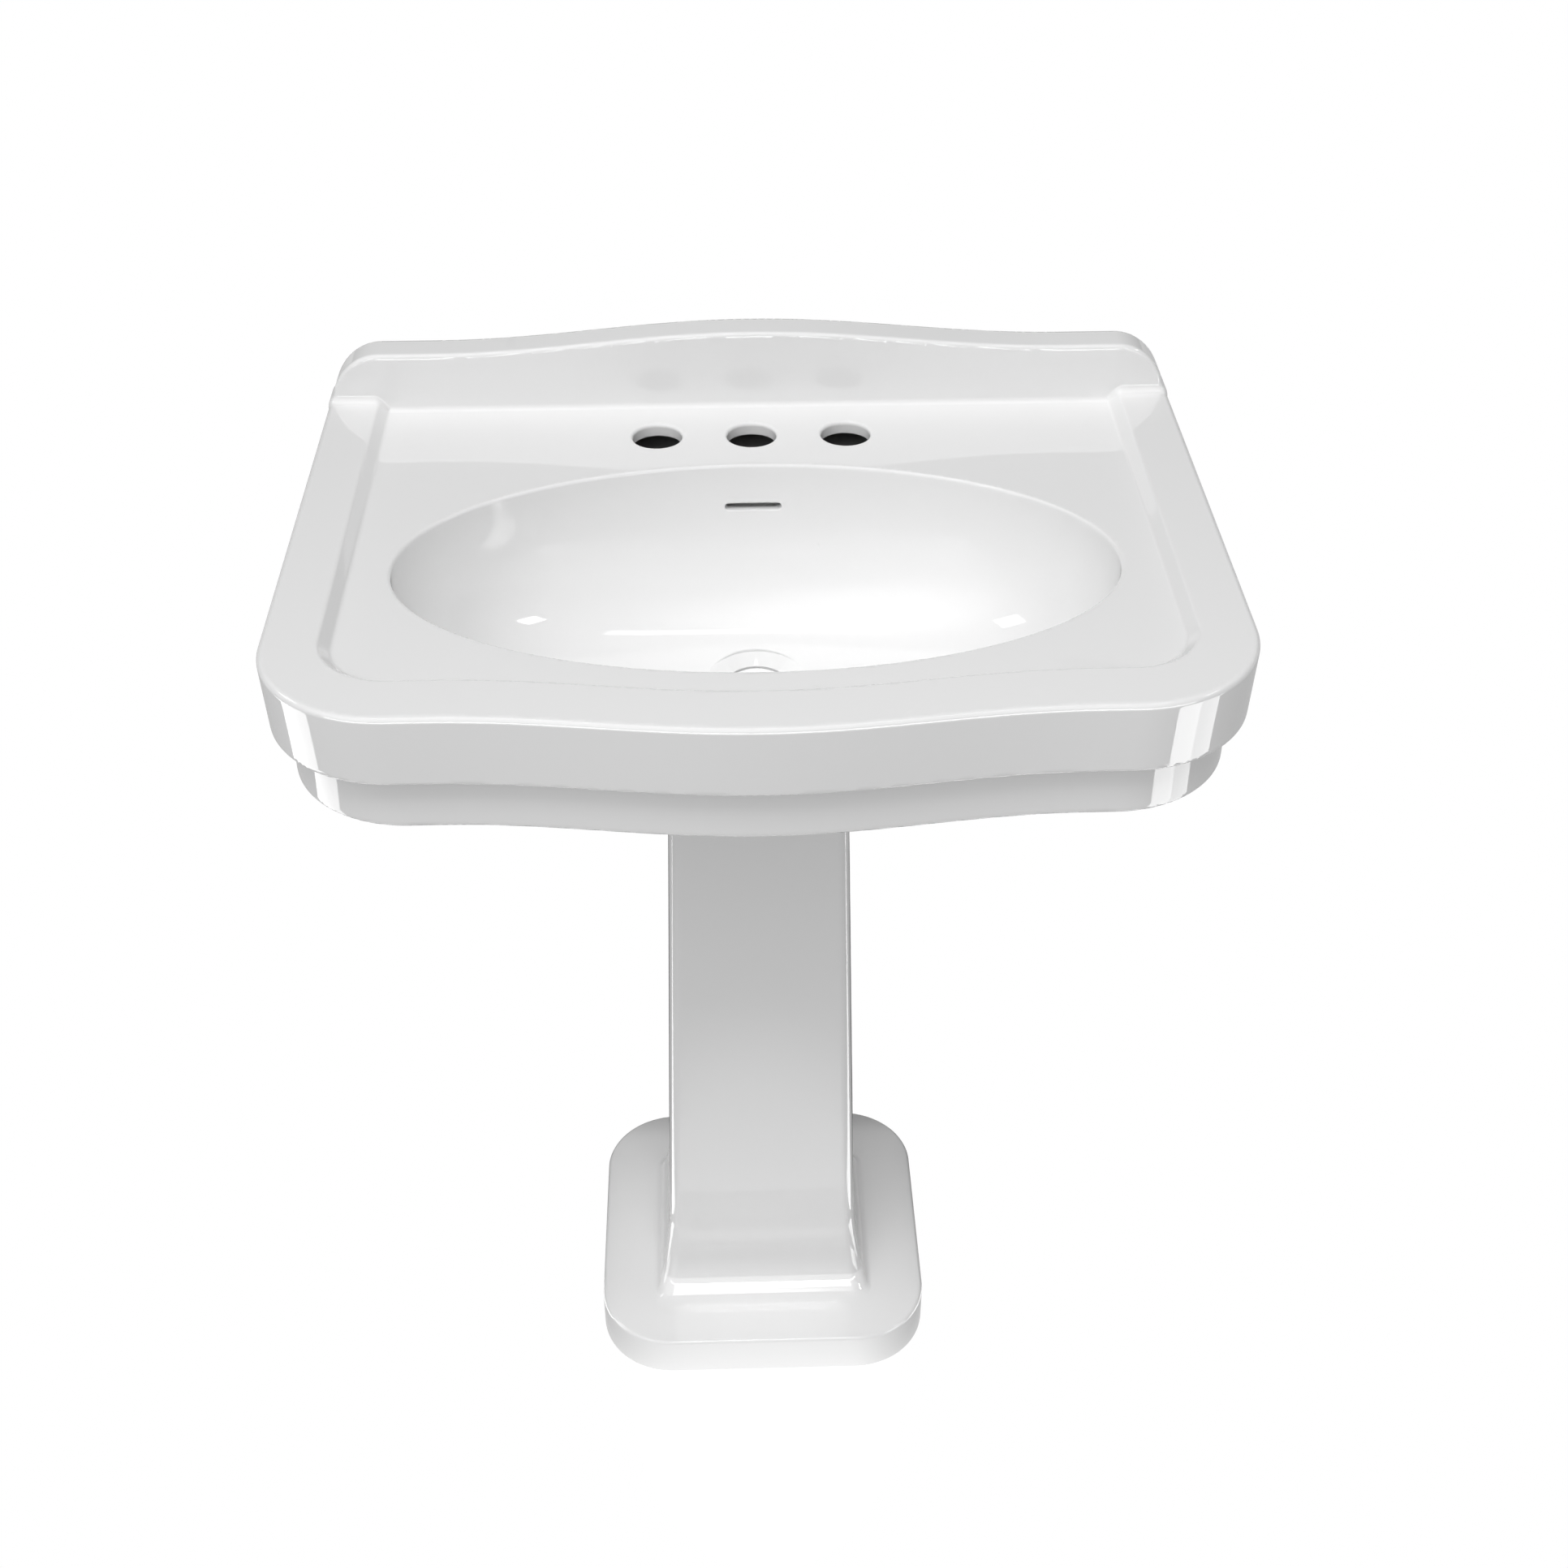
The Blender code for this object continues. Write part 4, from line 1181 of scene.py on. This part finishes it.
@dataclass
class FloorFixing(SubAssembly):
    """Screw, nylon bush, washer and cap at one hole of the pedestal's foot flange."""

    side: str = "left"
    sign: int = -1
    lift: float = 1 * MM
    screw_r: float = 4 * MM
    screw_pitch: float = 2.2 * MM
    screw_tip: float = 1.2 * MM
    sleeve_r: float = 6 * MM
    bush_r: float = 10.5 * MM
    bush_flange: float = 2.5 * MM
    bush_soft: float = 0.5 * MM
    washer_r: float = 11.5 * MM
    washer_thickness: float = 1.6 * MM
    washer_soft: float = 0.3 * MM
    head_across: float = 13 * MM
    head_height: float = 5.5 * MM
    cap_r: float = 8.5 * MM
    cap_brim_r: float = 10.8 * MM
    cap_brim_drop: float = 1 * MM
    cap_room: float = 7.5 * MM
    cap_wall: float = 1.8 * MM
    cap_soft: float = 0.9 * MM
    cap_tip_r: float = 0.05 * MM

    def build(self) -> None:
        """Make the four pieces."""
        side, gap, inner = self.side, SIZES.gap, self.screw_r + SIZES.gap
        axis = Axis(Vector((self.sign * SIZES.floor_fixing_x, SIZES.floor_fixing_y, 0.0)), Vector((0, 0, 1)))
        top = SIZES.flange + gap
        flange = top + self.bush_flange
        radii = (inner, self.sleeve_r - gap, self.bush_r)
        bush = axis.bush(f"foot_bush_{side}", radii, (self.lift, top, flange), self.bush_soft)
        self.add(bush, f"floor_bush_{side}", Finish.NYLON)
        low = flange + gap
        high = low + self.washer_thickness
        washer = axis.washer(f"foot_washer_{side}", (inner, self.washer_r), (low, high), self.washer_soft)
        self.add(washer, f"floor_washer_{side}", Finish.ZINC)
        head = high + gap
        ends = (self.lift, head + 1 * MM)
        shank = axis.threaded(f"foot_screw_{side}", self.screw_r, ends, self.screw_pitch, self.screw_tip)
        ends = (head, head + self.head_height)
        unite(shank, axis.hexagon(f"foot_screw_head_{side}", self.head_across, ends, flat_base=True))
        self.add(shank, f"floor_screw_{side}", Finish.ZINC)
        roof = head + self.cap_room
        corners = [(self.cap_tip_r, roof), (self.cap_r, roof), (self.cap_r, head), (self.cap_brim_r, head)]
        corners += [(self.cap_brim_r, roof - self.cap_brim_drop), (self.cap_r, roof + self.cap_wall)]
        corners += [(self.cap_tip_r, roof + self.cap_wall)]
        cap = axis.turned(f"foot_cap_{side}", corners, self.cap_soft, bored=False)
        self.add(cap, f"screw_cap_{side}", Finish.NYLON)


@dataclass
class RubberPads(SubAssembly):
    """Four pads on the column's top edge, which the flat under the bowl rests on."""

    radius: float = 5.5 * MM
    tip_r: float = 0.05 * MM
    soft: float = 0.5 * MM
    places: tuple[tuple[str, float, float], ...] = (
        ("front_left", -0.040, -0.011),
        ("front_right", 0.040, -0.011),
        ("side_left", -0.0565, 0.048),
        ("side_right", 0.0565, 0.048),
    )

    def build(self) -> None:
        """Make the four pads."""
        low = SIZES.pedestal_top + SIZES.gap
        high = low + SIZES.pad_thickness
        corners = [(self.tip_r, low), (self.radius, low), (self.radius, high), (self.tip_r, high)]
        for place, x, y in self.places:
            axis = Axis(Vector((x, y, 0.0)), Vector((0, 0, 1)))
            pad = axis.turned(f"pad_{place}", corners, self.soft, sides=48, bored=False)
            self.add(pad, f"rubber_pad_{place}", Finish.RUBBER)


# ---- the studio ----
@dataclass(frozen=True)
class Softbox:
    """A rectangular light that the camera doesn't see.

    Attributes:
        name: Its name.
        place: Where its middle is.
        target: What it faces.
        size: Width and height in metres.
        power: Watts.
        mirrored: True if it shows in glossy surfaces.
        lighting: True if it lights matt surfaces.
    """

    name: str
    place: Triple
    target: Triple
    size: Pair
    power: float
    mirrored: bool = True
    lighting: bool = True

    def build(self) -> None:
        """Put the light up."""
        lamp = bpy.data.lights.new(self.name, "AREA")
        lamp.shape = "RECTANGLE"
        lamp.size, lamp.size_y = self.size
        lamp.energy = self.power
        thing = placed(self.name, lamp)
        thing.location = self.place
        aim = Vector(self.target) - Vector(self.place)
        thing.rotation_euler = aim.to_track_quat("-Z", "Y").to_euler()
        thing.visible_camera = False
        thing.visible_glossy = self.mirrored
        thing.visible_diffuse = self.lighting


def glint(name: str, place: Triple, target: Triple, size: Pair, power: float) -> Softbox:
    """A softbox that only shows in glossy surfaces."""
    return Softbox(name, place, target, size, power, lighting=False)


def fill(name: str, place: Triple, target: Triple, size: Pair, power: float) -> Softbox:
    """A softbox that only lights matt surfaces."""
    return Softbox(name, place, target, size, power, mirrored=False)


@dataclass(frozen=True)
class Pool:
    """A soft-edged patch on the floor or in the surround.

    Attributes:
        centre: Its middle.
        radii: Its half sizes along X, Y and Z.
        edge: Share of the radii at which it starts to fade.
    """

    centre: Triple
    radii: Triple
    edge: float

    def socket(self, graph: NodeGraph, place: bpy.types.NodeSocket) -> bpy.types.NodeSocket:
        """A value that is 1 inside the patch and 0 outside it."""
        shift = graph.node("ShaderNodeVectorMath", {0: place, 1: self.centre}, "SUBTRACT").outputs["Vector"]
        scale = graph.node("ShaderNodeVectorMath", {0: shift, 1: self.radii}, "DIVIDE").outputs["Vector"]
        length = graph.node("ShaderNodeVectorMath", {0: scale}, "LENGTH").outputs["Value"]
        inputs = {"Value": length, "From Min": self.edge, "From Max": 1.0, "To Min": 1.0, "To Max": 0.0}
        fade = graph.node("ShaderNodeMapRange", inputs)
        fade.interpolation_type = "SMOOTHSTEP"
        return fade.outputs["Result"]


@dataclass
class Studio:
    """Pale floor, soft surround, dark cards, softboxes and the camera.

    The floor shines by floor_glow, more in the foot pool and less in the shade pool. The surround shines
    by surround_low, more in the key pool. Each card is given by its west, east, south and north edge and
    its height. The camera's angles are in degrees, its lens and sensor in millimetres.
    """

    floor_half: float = 30.0
    floor_drop: float = 0.5 * MM
    floor_glow: float = 0.54
    foot_glow: float = 0.72
    foot_pool: Pool = Pool((0.0, -0.09, 0.0), (0.17, 0.27, 1.0), 0.40)
    shade_pool: Pool = Pool((0.0, 0.42, 0.0), (0.62, 0.46, 1.0), 0.60)
    surround_low: float = 0.22
    key_glow: float = 1.20
    key_pool: Pool = Pool((-0.32, -0.52, 0.80), (0.85, 0.85, 0.85), 0.35)
    cards: tuple[tuple[float, float, float, float, float], ...] = (
        (-0.28, 0.28, 0.101, 0.211, 0.669),
        (-0.28, -0.200, -0.10, 0.101, 0.669),
        (0.200, 0.28, -0.10, 0.101, 0.669),
        (-0.28, 0.28, 0.120, 0.211, 0.722),
    )
    # painted shade: the cards' dark tone is what shows through the tap holes, in place of the shade under the
    # deck
    painted_shade_tone: float = 0.25
    eye: Triple = (-0.02213, -1.24271, 1.46978)
    look_down: float = 36.46
    look_left: float = -1.86
    lens: float = 50.0
    sensor: float = 36.0
    softboxes: tuple[Softbox, ...] = (
        glint("left_panel", (-0.87, -0.13, 0.25), (-0.25, -0.16, 0.25), (0.34, 0.46), 1.6),
        glint("right_panel", (0.84, -0.33, 0.25), (0.25, -0.19, 0.25), (0.22, 0.46), 1.05),
        glint("right_bright_panel", (0.76, -0.54, 0.25), (0.25, -0.19, 0.25), (0.24, 0.46), 1.65),
        glint("left_floor", (-0.455, 0.0, 0.003), (-0.455, 0.0, 1.0), (0.59, 0.07), 0.5),
        glint("right_floor", (0.455, -0.03, 0.003), (0.455, -0.03, 1.0), (0.59, 0.09), 0.65),
        Softbox("overhead", (0.1, -0.12, 2.7), (0.1, -0.12, 0.7), (1.8, 0.28), 4.5),
        fill("front_top", (-0.1, -1.05, 2.65), (0.0, -0.05, 0.4), (1.6, 0.70), 15.5),
        glint("foot_strip", (-0.01, -0.25, 0.50), (0.0, -0.02, 0.042), (0.27, 0.10), 0.60),
        glint("edge_strip", (0.0, -0.46, 0.765), (0.0, 0.0, 0.765), (1.2, 0.09), 1.9),
        fill("plinth_fill", (0.0, 0.045, 0.047), (0.0, 0.045, 0.0), (0.27, 0.25), 0.034),
        fill("bowl_fill", (0.0, 0.0, 0.705), (0.0, 0.0, 0.0), (0.30, 0.16), 0.014),
        glint("right_spot", (1.55, -0.28, 2.0), (-0.155, 0.048, 0.662), (0.34, 0.18), 2.6),
        glint("left_window", (-1.40, 0.33, 1.85), (0.175, 0.030, 0.664), (0.40, 0.30), 1.6),
        fill("column_fill", (0.0, -0.42, 0.36), (0.0, 0.0, 0.33), (0.24, 0.08), 0.03),
    )

    def floor(self) -> None:
        """A wide pale floor that glows a little, brighter at the foot and dim behind the sink."""
        bm = bmesh.new()
        bmesh.ops.create_grid(bm, x_segments=1, y_segments=1, size=self.floor_half)
        mesh = bpy.data.meshes.new("studio_floor")
        bm.to_mesh(mesh)
        bm.free()
        thing = placed("studio_floor", mesh)
        thing.location.z = -self.floor_drop
        made = NodeMaterial("studio_floor")
        made.tree.nodes.remove(made.shader)
        place = made.node("ShaderNodeNewGeometry").outputs["Position"]
        near, shade = self.foot_pool.socket(made, place), self.shade_pool.socket(made, place)
        glow = made.combine("ADD", made.combine("MULTIPLY", near, self.foot_glow), self.floor_glow)
        glow = made.combine("MULTIPLY", glow, made.combine("SUBTRACT", 1.0, shade))
        strength = made.combine("MAXIMUM", glow, made.camera_ray())
        made.show_one_side(made.node("ShaderNodeEmission", {"Strength": strength}).outputs["Emission"])
        mesh.materials.append(made.material)

    def surround(self) -> None:
        """Soft light from all sides, with a wide bright patch high up in front."""
        world = bpy.data.worlds.new("surround")
        world.use_nodes = True
        bpy.context.scene.world = world
        graph = NodeGraph(world.node_tree)
        key = self.key_pool.socket(graph, graph.node("ShaderNodeTexCoord").outputs["Generated"])
        glow = graph.combine("ADD", graph.combine("MULTIPLY", key, self.key_glow), self.surround_low)
        strength = graph.combine("MAXIMUM", glow, graph.camera_ray())
        graph.feed("Background", {"Strength": strength, "Color": (1.0, 1.0, 1.0, 1.0)})

    def flag(self) -> None:
        """Dark cards under the back and the sides of the deck that keep light out from below; their dark
        tone, which shows through the tap holes, is painted shade.

        They stop at the bowl's outer wall, and they are clear when they are looked at from below.
        """
        corners, faces = [], []
        for west, east, south, north, level in self.cards:
            first = len(corners)
            corners += [(west, south, level), (east, south, level)]
            corners += [(east, north, level), (west, north, level)]
            faces.append(tuple(range(first, first + 4)))
        thing = object_from("dark_flag", corners, faces)
        made = NodeMaterial("dark_flag")
        # painted shade: the cards' dark matt tone darkens what is seen through the tap holes
        made.feed(made.shader, {"Base Color": (*[self.painted_shade_tone] * 3, 1.0), "Roughness": 1.0})
        made.feed(made.shader, {"Specular IOR Level": 0.0})
        made.show_one_side(made.shader.outputs["BSDF"])
        thing.data.materials.append(made.material)

    def camera(self) -> None:
        """The camera in front of the sink, a little left of its middle."""
        data = bpy.data.cameras.new("view")
        data.lens, data.sensor_width = self.lens, self.sensor
        thing = placed("view", data)
        thing.location = self.eye
        thing.rotation_euler = (math.radians(90 - self.look_down), 0.0, math.radians(self.look_left))
        bpy.context.scene.camera = thing

    def build(self) -> None:
        """Set the whole studio up."""
        self.floor()
        self.flag()
        self.surround()
        for softbox in self.softboxes:
            softbox.build()
        self.camera()
        bpy.context.scene.view_settings.view_transform = "Standard"
        bpy.context.scene.view_settings.look = "None"


def main() -> None:
    """Build the whole scene."""
    logging.basicConfig(level=logging.INFO, format="%(name)s: %(message)s")
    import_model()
    paint = Paint()
    groups: list[SubAssembly] = [Basin(paint), Pedestal(paint), RubberPads(paint)]
    for side, sign in (("left", -1), ("right", 1)):
        groups.append(WallFixing(paint, side=side, sign=sign))
        groups.append(FloorFixing(paint, side=side, sign=sign))
    for group in groups:
        group.build()
        group.dress()
    Studio().build()


if __name__ == "__main__":
    main()
